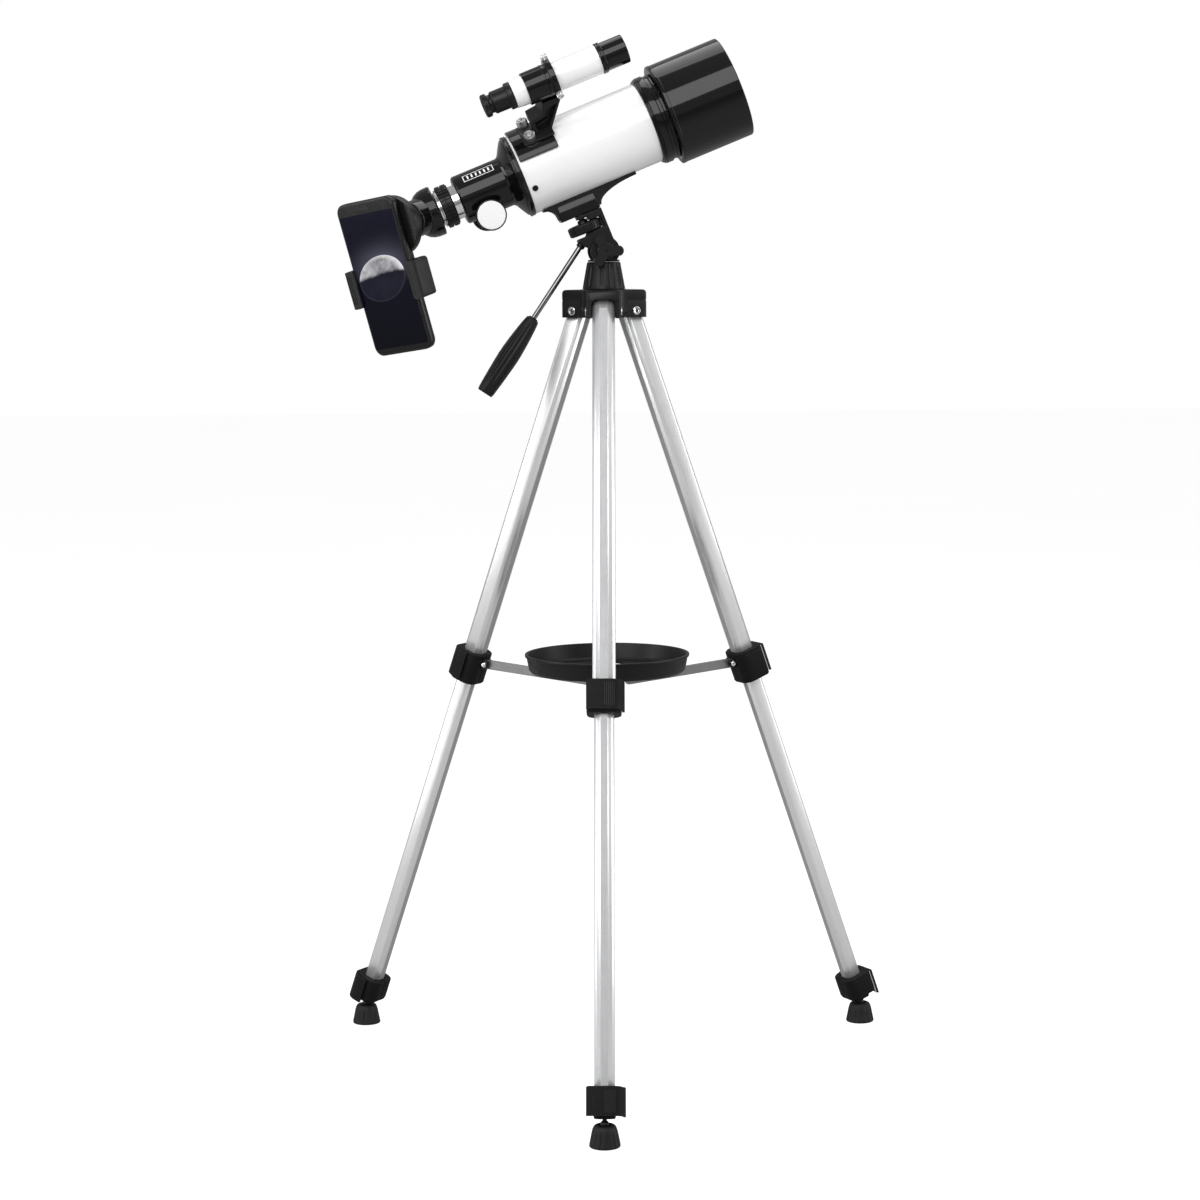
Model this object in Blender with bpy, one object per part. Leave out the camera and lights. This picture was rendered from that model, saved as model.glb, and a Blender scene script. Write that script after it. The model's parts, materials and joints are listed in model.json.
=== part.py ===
"""Travel refractor telescope on a three-section tripod, with a finder, a phone adapter and a phone.

Metres, +Z up. The origin is on the floor, under the middle of the object's outline.
Frames used below:
  leg frame        at a leg's hip: +X outward, +Y round the tripod, -Z down along the leg
  telescope frame  at the tilt axis: +X toward the sky, +Z up and square to it, -Y the near side
  optical frame    the telescope frame moved up to the main tube's axis
  eyepiece frame   at the diagonal's mirror: +Z out along the eyepiece, +Y up
"""
import math

import bmesh
import bpy
from mathutils import Matrix, Vector

for leftover in list(bpy.data.objects):
    bpy.data.objects.remove(leftover)

GAP = 0.0003                    # clearance between pieces that touch
LARGE, MEDIUM, SMALL = 36, 24, 12   # sides of round pieces, by size

# Tripod
TRIPOD_X, TRIPOD_Y = 0.0001, 0.0725
LEG_AZIMUTHS = {"front": -90, "right": 30, "left": 150}
HIP_RADIUS, HIP_Z = 0.0274, 0.7637
LEG_ANGLE = 20.54
UPPER_TUBE_TOP, UPPER_TUBE_END = -0.008, 0.392
MIDDLE_TUBE_TOP, MIDDLE_TUBE_END = 0.345, 0.773
LOWER_TUBE_TOP, LOWER_TUBE_END = 0.405, 0.7825
UPPER_TUBE, MIDDLE_TUBE, LOWER_TUBE = (0.0222, 0.0206), (0.0192, 0.0176), (0.0162, 0.0146)
TUBE_WALL = 0.0010
UPPER_CLAMP = (0.374, 0.407)
LOWER_CLAMP = (0.757, 0.7755)
BALL_DISTANCE, BALL_R = 0.7934, 0.0044
STUD_R = 0.0021
FOOT_H, FOOT_BASE_R, FOOT_TOP_R = 0.0262, 0.0148, 0.0102
RIVET_R = 0.0026
HUB_BOTTOM, HUB_TOP, HUB_REACH, HUB_ARM = 0.757, 0.785, 0.0412, 0.034
STRUT_PIN_R, STRUT_PIN_Z, STRUT_LENGTH, STRUT_SLOPE = 0.1456, 0.3990, 0.1206, -4.0
STRUT_T, STRUT_H = 0.003, 0.0096
LUG_S = 0.3830                  # the strut pin's distance down the leg
TRAY_BOTTOM, TRAY_RIM_Z, TRAY_RIM_R, TRAY_FLOOR_R = 0.4010, 0.4195, 0.083, 0.0765

# Head
CONE_TOP, CONE_BOTTOM_R, CONE_TOP_R = 0.812, 0.0212, 0.0168
TILT_Z = 0.8230
PAN, ELEVATION = 7.4, 22.0
CHEEK_R, CHEEK_INSIDE, CHEEK_OUTSIDE = 0.0145, 0.0123, 0.0168
TILT_BOLT_R = 0.0030
PLATFORM_TOP = 0.0412
WHEEL_U, WHEEL_V, WHEEL_R, WHEEL_T = -0.0086, 0.028, 0.017, 0.010
HANDLE_DROP = 34.0              # slope of the handle below the tube's own line
HANDLE_ROOT = (-0.018, 0.014)
HANDLE_ROD_R, HANDLE_ROD_LENGTH, HANDLE_GRIP = 0.0025, 0.112, (0.088, 0.176)

# Optical tube, along the telescope frame's X
OPTICAL_V = 0.100
TUBE_R, TUBE_REAR, TUBE_FRONT = 0.0405, -0.0487, 0.088
DEW_R, DEW_FRONT, DEW_WALL = 0.0510, 0.1815, 0.0024
HOUSING_R, HOUSING_REAR = 0.02445, -0.114
DRAWTUBE_R, DRAWTUBE_REAR = 0.017, -0.136
PINION_U, PINION_V, PINION_R = -0.0919, 0.0757, 0.0052
KNOB_R, KNOB_NEAR, KNOB_FAR = 0.01535, 0.0251, 0.0330
DIAGONAL_U, DIAGONAL_ROLL, DIAGONAL_BEND = -0.1465, -3.0, 45.0

# Finder, in the optical frame turned toward the near side
FINDER_ANGLE, FINDER_AXIS, FINDER_R = 35.0, 0.091, 0.0144

# Phone and adapter, in the eyepiece frame
PHONE_W, PHONE_H, PHONE_T, PHONE_CORNER = 0.075, 0.154, 0.009, 0.010
PHONE_BACK, PHONE_ROLL = 0.0555, -10.0
CAMERA_X, CAMERA_Y = 0.022, 0.0455       # where the eyepiece looks into the phone, from its middle
JAW_Y, JAW_HALF = -0.0075, 0.019


# ---------------------------------------------------------------- materials
def material(name, color, roughness, metallic=0.0):
    made = bpy.data.materials.new(name)
    made.use_nodes = True
    shader = made.node_tree.nodes["Principled BSDF"]
    shader.inputs["Base Color"].default_value = (*color, 1.0)
    shader.inputs["Roughness"].default_value = roughness
    shader.inputs["Metallic"].default_value = metallic
    return made


FINISHES = {
    "black_plastic": ((0.020, 0.020, 0.022), 0.42, 0.0),
    "gloss_black": ((0.012, 0.012, 0.013), 0.18, 0.0),
    "black_rubber": ((0.018, 0.018, 0.018), 0.70, 0.0),
    "white_enamel": ((0.86, 0.86, 0.85), 0.22, 0.0),
    "aluminium": ((0.78, 0.79, 0.80), 0.30, 1.0),
    "strut_metal": ((0.32, 0.32, 0.33), 0.45, 1.0),
    "chrome": ((0.75, 0.76, 0.77), 0.12, 1.0),
    "lens_glass": ((0.30, 0.36, 0.42), 0.02, 0.0),
    "phone_glass": ((0.008, 0.009, 0.016), 0.08, 0.0),
}


# ---------------------------------------------------------------- shapes
def frame(name, parent=None, location=(0, 0, 0), rotation=(0, 0, 0)):
    """An empty that carries other objects; rotation in degrees, applied X, then Y, then Z."""
    empty = bpy.data.objects.new(name, None)
    bpy.context.collection.objects.link(empty)
    empty.parent = parent
    empty.location = location
    empty.rotation_euler = [math.radians(angle) for angle in rotation]
    return empty


def place(name, mesh, finish, parent, location=(0, 0, 0), rotation=(0, 0, 0)):
    made = bpy.data.objects.new(name, mesh)
    bpy.context.collection.objects.link(made)
    made.parent = parent
    made.location = location
    made.rotation_euler = [math.radians(angle) for angle in rotation]
    if finish:
        mesh.materials.append(material(name + "_finish", *FINISHES[finish]))
    return made


def skin(name, loops, closed=False):
    """A mesh through loops of equal point counts; its ends are capped, or joined if closed."""
    shape = bmesh.new()
    rings = [[shape.verts.new(point) for point in loop] for loop in loops]
    pairs = list(zip(rings, rings[1:]))
    if closed:
        pairs.append((rings[-1], rings[0]))
    for lower, upper in pairs:
        for i in range(len(lower)):
            j = (i + 1) % len(lower)
            shape.faces.new((lower[i], lower[j], upper[j], upper[i]))
    if not closed:
        shape.faces.new(rings[0])
        shape.faces.new(rings[-1])
    bmesh.ops.recalc_face_normals(shape, faces=shape.faces)
    mesh = bpy.data.meshes.new(name)
    shape.to_mesh(mesh)
    shape.free()
    mesh.shade_smooth()
    mesh.set_sharp_from_angle(angle=math.radians(32))
    return mesh


def circle(radius, z=0.0, sides=MEDIUM, flute=0.0, flutes=0):
    """Points round a circle; flute cuts that many shallow waves into it."""
    turns = [math.tau * i / sides for i in range(sides)]
    radii = [radius - flute * (0.5 - 0.5 * math.cos(flutes * turn)) for turn in turns]
    return [(r * math.cos(turn), r * math.sin(turn), z) for r, turn in zip(radii, turns)]


def turned(name, profile, finish, parent, closed=False, sides=MEDIUM, **where):
    """A turned piece; profile is (radius, height) from one end to the other, or all round."""
    loops = [circle(radius, height, sides) for radius, height in profile]
    return place(name, skin(name, loops, closed), finish, parent, **where)


def prism(name, outline, low, high, finish, parent, **where):
    """An outline in X and Y carried along Z from low to high."""
    loops = [[(x, y, z) for x, y in outline] for z in (low, high)]
    return place(name, skin(name, loops), finish, parent, **where)


def side_prism(name, outline, low, high, finish, parent, **where):
    """An outline in X and Z carried along Y from low to high."""
    loops = [[(x, y, z) for x, z in outline] for y in (low, high)]
    return place(name, skin(name, loops), finish, parent, **where)


def round_box(width, height, corner, steps=3):
    """The outline of a rectangle with round corners, about the origin."""
    points = []
    for quarter, (sx, sy) in enumerate(((1, 1), (-1, 1), (-1, -1), (1, -1))):
        cx, cy = sx * (width / 2 - corner), sy * (height / 2 - corner)
        for i in range(steps + 1):
            turn = math.radians(90 * (quarter + i / steps))
            points.append((cx + corner * math.cos(turn), cy + corner * math.sin(turn)))
    return points


def arc(cx, cy, radius, start, end, steps):
    turns = [math.radians(start + (end - start) * i / steps) for i in range(steps + 1)]
    return [(cx + radius * math.cos(turn), cy + radius * math.sin(turn)) for turn in turns]


def combine(target, helper, operation):
    """Boolean of a helper into target; the helper stays as a hidden guide."""
    helper.hide_render = True
    helper.display_type = "WIRE"
    step = target.modifiers.new(operation.lower(), "BOOLEAN")
    step.operation = operation
    step.object = helper
    return target


def box_helper(size, parent, location=(0, 0, 0), rotation=(0, 0, 0)):
    x, y, z = size
    outline = [(-x / 2, -y / 2), (x / 2, -y / 2), (x / 2, y / 2), (-x / 2, y / 2)]
    return prism("helper", outline, -z / 2, z / 2, None, parent, location=location, rotation=rotation)


def rod_helper(radius, length, parent, location=(0, 0, 0), rotation=(0, 0, 0), sides=SMALL):
    profile = ((radius, -length / 2), (radius, length / 2))
    return turned("helper", profile, None, parent, sides=sides, location=location, rotation=rotation)


def cut(target, helper):
    return combine(target, helper, "DIFFERENCE")


def add(target, helper):
    return combine(target, helper, "UNION")


# ---------------------------------------------------------------- tripod
def leg_section(size, grow=0.0):
    """The extruded leg's outline: a flat front and back, bevelled shoulders and narrow sides."""
    width, depth = size[0] / 2 + grow, size[1] / 2 + grow
    quarter = [(1.0, 0.40), (0.84, 0.76), (0.56, 1.0)]
    front = [(depth * x, width * y) for x, y in quarter]
    back = [(-x, y) for x, y in reversed(front)]
    return front + back + [(-x, -y) for x, y in front] + [(x, -y) for x, y in reversed(front)]


def leg_loop(size, s, grow=0.0):
    return [(x, y, -s) for x, y in leg_section(size, grow)]


def leg_tube(name, size, top, end, parent):
    loops = [leg_loop(size, top), leg_loop(size, end),
             leg_loop(size, end, -TUBE_WALL), leg_loop(size, top, -TUBE_WALL)]
    return place(name, skin(name, loops, closed=True), "aluminium", parent)


def lower_leg_tube(name, parent):
    """The innermost tube, plugged at its end, with the ball stud that the foot turns on."""
    def round_loop(radius, s):
        points = leg_section(LOWER_TUBE)
        return [(radius * x / math.hypot(x, y), radius * y / math.hypot(x, y), -s) for x, y in points]

    ball = [(BALL_R * math.sin(math.radians(turn)), BALL_DISTANCE - BALL_R * math.cos(math.radians(turn)))
            for turn in (30, 55, 80, 105, 130, 155, 170)]
    loops = [leg_loop(LOWER_TUBE, LOWER_TUBE_TOP), leg_loop(LOWER_TUBE, LOWER_TUBE_END - 0.004)]
    loops += [round_loop(0.0070, LOWER_TUBE_END - 0.003), round_loop(0.0064, LOWER_TUBE_END)]
    loops += [round_loop(STUD_R, LOWER_TUBE_END + 0.0001)]
    loops += [round_loop(radius, s) for radius, s in ball]
    loops.reverse()
    floor = LOWER_TUBE_END - 0.014
    loops += [leg_loop(LOWER_TUBE, LOWER_TUBE_TOP, -TUBE_WALL), leg_loop(LOWER_TUBE, floor, -TUBE_WALL)]
    return place(name, skin(name, loops), "aluminium", parent)


def clamp_body(name, span, outer_size, tube_end, inner_size, parent, lug=False, nose=False):
    """The moulded collar on a tube's end, open for the next tube to slide through."""
    top, end = span
    collar = prism(name, round_box(0.0336, 0.0345, 0.007), -end, -top, "black_plastic", parent)
    if nose:
        taper = [[(x * k, y * k, -s) for x, y in round_box(0.0336, 0.0345, 0.007)]
                 for k, s in ((1.0, end - 0.002), (0.52, end + 0.0062))]
        add(collar, place("helper", skin("helper", taper), None, parent))
    if lug:
        for side in (-1, 1):
            cheek = round_box(0.0150, 0.0160, 0.0060)
            add(collar, side_prism("helper", cheek, side * 0.0010, side * 0.0052, None, parent,
                                   location=(-0.0165, 0, -LUG_S)))
        cut(collar, box_helper((0.0130, STRUT_T + 0.0006, 0.0200), parent, (-0.0186, 0, -LUG_S)))
    inside = [[(x, y, -s) for x, y in leg_section(size, GAP)]
              for size, s in ((outer_size, top - 0.02), (outer_size, tube_end + GAP))]
    cut(collar, place("helper", skin("helper", inside), None, parent))
    inside = [[(x, y, -s) for x, y in leg_section(inner_size, GAP)]
              for s in (end - 0.02, end + 0.02)]
    cut(collar, place("helper", skin("helper", inside), None, parent))
    return collar


def clamp_lever(name, top, end, parent):
    """The flip lever: a curved plate over the outer face, hinged along one edge."""
    outer = arc(0.0118, 0.0125, 0.0086, 90, 0, 3) + [(0.0204, -0.0128)]
    outer += arc(0.0174, -0.0140, 0.0030, 0, -90, 2)
    inner = [(0.0172, -0.0150)] + arc(0.0118, 0.0125, 0.0056, 0, 90, 3)
    outline = [(0.0045, 0.0211)] + outer + inner + [(0.0045, 0.0181)]
    return prism(name, outline, -end, -top, "black_plastic", parent)


def tripod_hub(parent):
    """A three-armed crown, slotted from below for the leg tops."""
    hub = turned("tripod_hub", ((0.0225, HUB_BOTTOM + 0.004), (0.0245, HUB_BOTTOM + 0.006),
                                (0.0245, HUB_TOP - 0.0015), (0.0232, HUB_TOP)), "black_plastic", parent)
    for name, azimuth in LEG_AZIMUTHS.items():
        arm = frame("hub_arm_" + name, parent, rotation=(0, 0, azimuth))
        half = HUB_ARM / 2
        outline = [(0.0, -half), (HUB_REACH - 0.003, -half)]
        outline += arc(0, 0, HUB_REACH + 0.0008, -19, 19, 6) + [(HUB_REACH - 0.003, half), (0.0, half)]
        add(hub, prism("helper", outline, HUB_BOTTOM, HUB_TOP - 0.0008, None, arm))
    for name, azimuth in LEG_AZIMUTHS.items():
        arm = frame("hub_slot_" + name, parent, rotation=(0, 0, azimuth))
        cut(hub, box_helper((0.050, 0.0238, 0.040), arm, (0.0388, 0, 0.7555)))
        cut(hub, rod_helper(RIVET_R + GAP, 0.050, arm, (HIP_RADIUS, 0, HIP_Z), (90, 0, 0)))
    return hub


def spreader_strut(name, parent):
    """A flat bar with round ends, running in from its pin."""
    half = STRUT_H / 2
    outline = arc(0, 0, half, 90, -90, 6) + arc(-STRUT_LENGTH, 0, half, -90, -270, 6)
    return side_prism(name, outline, -STRUT_T / 2, STRUT_T / 2, "strut_metal", parent)


def rubber_foot(name, parent):
    """A fluted bell with a socket for the leg's ball, standing flat."""
    def bell(radius, z, flute):
        return circle(radius, z, 24, flute, 8)

    centre = HIP_Z - BALL_DISTANCE * math.cos(math.radians(LEG_ANGLE))
    loops = [bell(FOOT_BASE_R - 0.0006, 0, 0), bell(FOOT_BASE_R, 0.0012, 0)]
    loops += [bell(FOOT_BASE_R - 0.0002, 0.0050, 0.0004), bell(0.0137, 0.0130, 0.0009)]
    loops += [bell(0.0123, 0.0200, 0.0008), bell(FOOT_TOP_R + 0.0008, 0.0248, 0.0002)]
    loops += [bell(FOOT_TOP_R, FOOT_H, 0)]
    loops += [circle(0.0078, FOOT_H, 24), circle(0.0043, centre + 0.0026, 24)]
    loops += [circle(BALL_R + GAP, centre + 0.0008, 24), circle(BALL_R + GAP, centre - 0.0010, 24)]
    loops += [circle(0.0026, centre - 0.0044, 24)]
    return place(name, skin(name, loops), "black_rubber", parent, location=(0, 0, -centre))


def make_leg(side, azimuth, tripod):
    out = Vector((math.cos(math.radians(azimuth)), math.sin(math.radians(azimuth)), 0))
    leg = frame("leg_" + side, tripod, out * HIP_RADIUS + Vector((0, 0, HIP_Z)), (0, -LEG_ANGLE, azimuth))
    upper = leg_tube("upper_leg_tube_" + side, UPPER_TUBE, UPPER_TUBE_TOP, UPPER_TUBE_END, leg)
    cut(upper, rod_helper(RIVET_R + GAP, 0.050, leg, rotation=(90, 0, 0)))
    leg_tube("middle_leg_tube_" + side, MIDDLE_TUBE, MIDDLE_TUBE_TOP, MIDDLE_TUBE_END, leg)
    lower_leg_tube("lower_leg_tube_" + side, leg)
    clamp_body("upper_clamp_body_" + side, UPPER_CLAMP, UPPER_TUBE, UPPER_TUBE_END,
               MIDDLE_TUBE, leg, lug=True)
    clamp_lever("upper_clamp_lever_" + side, UPPER_CLAMP[0] + 0.0010, UPPER_CLAMP[1] - 0.0030, leg)
    clamp_body("lower_clamp_body_" + side, LOWER_CLAMP, MIDDLE_TUBE, MIDDLE_TUBE_END,
               LOWER_TUBE, leg, nose=True)
    clamp_lever("lower_clamp_lever_" + side, LOWER_CLAMP[0] + 0.0010, LOWER_CLAMP[1] + 0.0060, leg)

    half = HUB_ARM / 2
    turned("leg_rivet_" + side, ((0.0037, -half - 0.0014), (0.0037, -half - GAP), (RIVET_R, -half - GAP),
                                 (RIVET_R, half + GAP), (0.0037, half + GAP), (0.0037, half + 0.0014)),
           "chrome", tripod, sides=SMALL, location=out * HIP_RADIUS + Vector((0, 0, HIP_Z)),
           rotation=(90, 0, azimuth))

    pin = frame("strut_" + side, tripod, out * STRUT_PIN_R + Vector((0, 0, STRUT_PIN_Z)),
                (0, STRUT_SLOPE, azimuth))
    spreader_strut("spreader_strut_" + side, pin)

    angle = math.radians(LEG_ANGLE)
    ball = out * (HIP_RADIUS + BALL_DISTANCE * math.sin(angle))
    ball.z = HIP_Z - BALL_DISTANCE * math.cos(angle)
    rubber_foot("rubber_foot_" + side, frame("foot_" + side, tripod, ball, (0, 0, azimuth)))


def accessory_tray(parent):
    """A shallow dish with eyepiece holes, forks for the struts below and a boss at the middle."""
    profile = ((0.0070, 0.3925), (0.0070, TRAY_BOTTOM), (TRAY_FLOOR_R, TRAY_BOTTOM), (0.0790, 0.4040),
               (TRAY_RIM_R - 0.0016, 0.4165), (TRAY_RIM_R, 0.4172), (TRAY_RIM_R, TRAY_RIM_Z),
               (TRAY_RIM_R - 0.0030, TRAY_RIM_Z), (0.0772, 0.4052), (0.0750, 0.4034), (0.0040, 0.4034),
               (0.0036, 0.4060))
    tray = turned("accessory_tray", profile, "black_plastic", parent, sides=LARGE)
    for azimuth in LEG_AZIMUTHS.values():
        arm = frame("tray_arm", parent, rotation=(0, 0, azimuth))
        for side in (-1, 1):
            add(tray, box_helper((0.016, 0.0022, 0.0150), arm, (0.0240, side * 0.0031, 0.3945)))
    for azimuth in LEG_AZIMUTHS.values():
        opposite = frame("tray_hole", parent, rotation=(0, 0, azimuth + 180))
        cut(tray, rod_helper(0.0165, 0.012, opposite, (0.0440, 0, 0.402), (0, 0, 3)))
    return tray


# ---------------------------------------------------------------- head
def head_base_cone(parent):
    loops = [circle(CONE_BOTTOM_R, HUB_TOP + GAP, 40, 0, 10),
             circle(CONE_BOTTOM_R, HUB_TOP + 0.002, 40, 0.0012, 10),
             circle(CONE_TOP_R, CONE_TOP - 0.0015, 40, 0.0009, 10),
             circle(CONE_TOP_R - 0.0008, CONE_TOP, 40, 0, 10)]
    return place("head_base_cone", skin("head_base_cone", loops), "black_plastic", parent)


def tilt_housing(pan_frame):
    """Two round cheeks on a disc, straddling the platform's barrel."""
    base_z = CONE_TOP + GAP - TILT_Z
    start = math.degrees(math.asin(base_z / CHEEK_R))
    outline = arc(0, 0, CHEEK_R, start, 180 - start, 20)
    housing = side_prism("tilt_housing", outline, -CHEEK_OUTSIDE, CHEEK_OUTSIDE, "black_plastic", pan_frame)
    cut(housing, box_helper((0.040, 2 * CHEEK_INSIDE, 0.040), pan_frame, (0, 0, base_z + 0.0022 + 0.020)))
    cut(housing, rod_helper(TILT_BOLT_R + GAP, 0.050, pan_frame, rotation=(90, 0, 0)))
    return housing


def platform(scope):
    """A C-shaped carrier: barrel on the tilt axis, handle shelf, front wall and top plate."""
    root_u, root_v = HANDLE_ROOT
    drop = math.radians(HANDLE_DROP)
    face = [(root_u + k * math.sin(drop), root_v - k * math.cos(drop)) for k in (-0.0046, 0.0046)]
    outline = [(0.0127, 0.0070), (0.0127, PLATFORM_TOP), (-0.0130, PLATFORM_TOP), (-0.0130, 0.0376),
               (0.0090, 0.0376), (0.0090, 0.0195), (face[0][0] + 0.0010, 0.0195)] + face
    outline += arc(0, 0, 0.0080, 150, 350, 9)
    carrier = side_prism("platform", outline, -0.0120, 0.0120, "black_plastic", scope)
    cut(carrier, rod_helper(TILT_BOLT_R + GAP, 0.050, scope, rotation=(90, 0, 0)))
    cut(carrier, rod_helper(0.0036, 0.010, scope, (WHEEL_U, 0, 0.0395)))
    return carrier


def tilt_lock_knob(pan_frame):
    """Three lobes on the near side, on a bolt that runs through both cheeks."""
    near = CHEEK_OUTSIDE + GAP
    knob = turned("tilt_lock_knob", ((TILT_BOLT_R, -CHEEK_OUTSIDE), (TILT_BOLT_R, near), (0.0088, near),
                                     (0.0088, near + 0.0040), (0.0070, near + 0.0052)),
                  "black_plastic", pan_frame, rotation=(90, 0, 0), sides=SMALL)
    for turn in (0, 125, 240):
        lobe = frame("knob_lobe", pan_frame, rotation=(0, turn, 0))
        outline = [(0.0020, -0.0046), (0.0125, -0.0052)] + arc(0.0125, 0, 0.0052, -60, 60, 4)
        outline += [(0.0125, 0.0052), (0.0020, 0.0046)]
        add(knob, side_prism("helper", outline, -near - 0.0085, -near - 0.0006, None, lobe))
    return knob


def platform_thumbwheel(scope):
    low, high = WHEEL_V - WHEEL_T / 2, WHEEL_V + WHEEL_T / 2
    profile = ((WHEEL_R - 0.0014, low), (WHEEL_R, low + 0.0010), (WHEEL_R, high - 0.0010),
               (WHEEL_R - 0.0014, high), (0.0055, high), (0.0048, high + 0.0035), (0.0031, high + 0.0036),
               (0.0031, PLATFORM_TOP))
    return turned("platform_thumbwheel", profile, "black_plastic", scope, location=(WHEEL_U, 0, 0))


def pan_handle(scope):
    """A steel rod into the shelf and a faceted grip over its far end."""
    handle = frame("handle", scope, (HANDLE_ROOT[0], 0, HANDLE_ROOT[1]), (0, -90 - HANDLE_DROP, 0))
    turned("handle_rod", ((HANDLE_ROD_R, GAP), (HANDLE_ROD_R, HANDLE_ROD_LENGTH - 0.001),
                          (HANDLE_ROD_R - 0.0008, HANDLE_ROD_LENGTH)), "chrome", handle, sides=SMALL)
    start, end = HANDLE_GRIP
    bore = HANDLE_ROD_R + GAP

    def section(width, depth, z):
        return [(x * width / 2, y * depth / 2, z) for x, y in
                ((1, .35), (.82, .72), (.45, 1), (-.45, 1), (-.82, .72), (-1, .35),
                 (-1, -.35), (-.82, -.72), (-.45, -1), (.45, -1), (.82, -.72), (1, -.35))]

    loops = [circle(bore, z, SMALL) for z in (HANDLE_ROD_LENGTH + 0.002, start)]
    loops += [section(0.0145, 0.013, start), section(0.0180, 0.015, start + 0.008),
              section(0.0250, 0.019, start + 0.030), section(0.0262, 0.020, start + 0.044),
              section(0.0245, 0.019, start + 0.060), section(0.0195, 0.017, end - 0.002),
              section(0.0170, 0.015, end)]
    place("handle_grip", skin("handle_grip", loops), "black_plastic", handle)


# ---------------------------------------------------------------- optical tube
ALONG = (0, 90, 0)              # turns a profile's height into the telescope's X


def tube_saddle(scope):
    """The cradle under the tube: tapered wings and a block that stands on the platform."""
    right = [(0.058 - 0.043 * math.sin(t), 0.044 + 0.0135 * math.cos(t)) for t in
             (math.radians(a) for a in range(0, 91, 15))]
    left = [(-0.041 + 0.011 * math.sin(t), 0.047 + 0.0105 * math.cos(t)) for t in
            (math.radians(a) for a in range(90, -1, -18))]
    outline = [(0.058, 0.064)] + right + [(0.0135, 0.043), (0.012, PLATFORM_TOP + GAP),
                                          (-0.028, PLATFORM_TOP + GAP), (-0.030, 0.0435)]
    outline += left + [(-0.041, 0.064)]
    saddle = side_prism("tube_saddle", outline, -0.0125, 0.0125, "gloss_black", scope)
    return cut(saddle, rod_helper(TUBE_R + GAP, 0.200, scope, (0, 0, OPTICAL_V), ALONG, sides=LARGE))


def tube_parts(optical):
    along = {"rotation": ALONG}
    turned("main_tube", ((TUBE_R - 0.0016, TUBE_REAR), (TUBE_R, TUBE_REAR), (TUBE_R, TUBE_FRONT),
                         (TUBE_R - 0.0016, TUBE_FRONT)),
           "white_enamel", optical, closed=True, sides=LARGE, **along)
    spigot = TUBE_R - 0.0016 - GAP
    turned("front_cell", ((0.0340, 0.0820), (spigot, 0.0820), (spigot, 0.0883), (0.0425, 0.0883),
                          (0.0425, 0.0915), (0.0445, 0.0920), (0.0445, 0.0985), (0.0432, 0.0990),
                          (0.0432, 0.1057), (0.0362, 0.1057), (0.0362, 0.0905), (0.0340, 0.0905)),
           "gloss_black", optical, closed=True, sides=LARGE, **along)
    turned("objective_lens", ((0.0120, 0.0914), (0.0356, 0.0930), (0.0356, 0.0965), (0.0250, 0.0990),
                              (0.0120, 0.1002)), "lens_glass", optical, **along)
    inside = DEW_R - DEW_WALL
    turned("dew_shield", ((0.0400, 0.1060), (DEW_R - 0.0013, 0.1060), (DEW_R, 0.1073),
                          (DEW_R, DEW_FRONT - 0.0006), (DEW_R - 0.0006, DEW_FRONT),
                          (inside, DEW_FRONT), (inside, 0.1085), (0.0400, 0.1085)),
           "gloss_black", optical, closed=True, sides=LARGE, **along)


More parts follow.
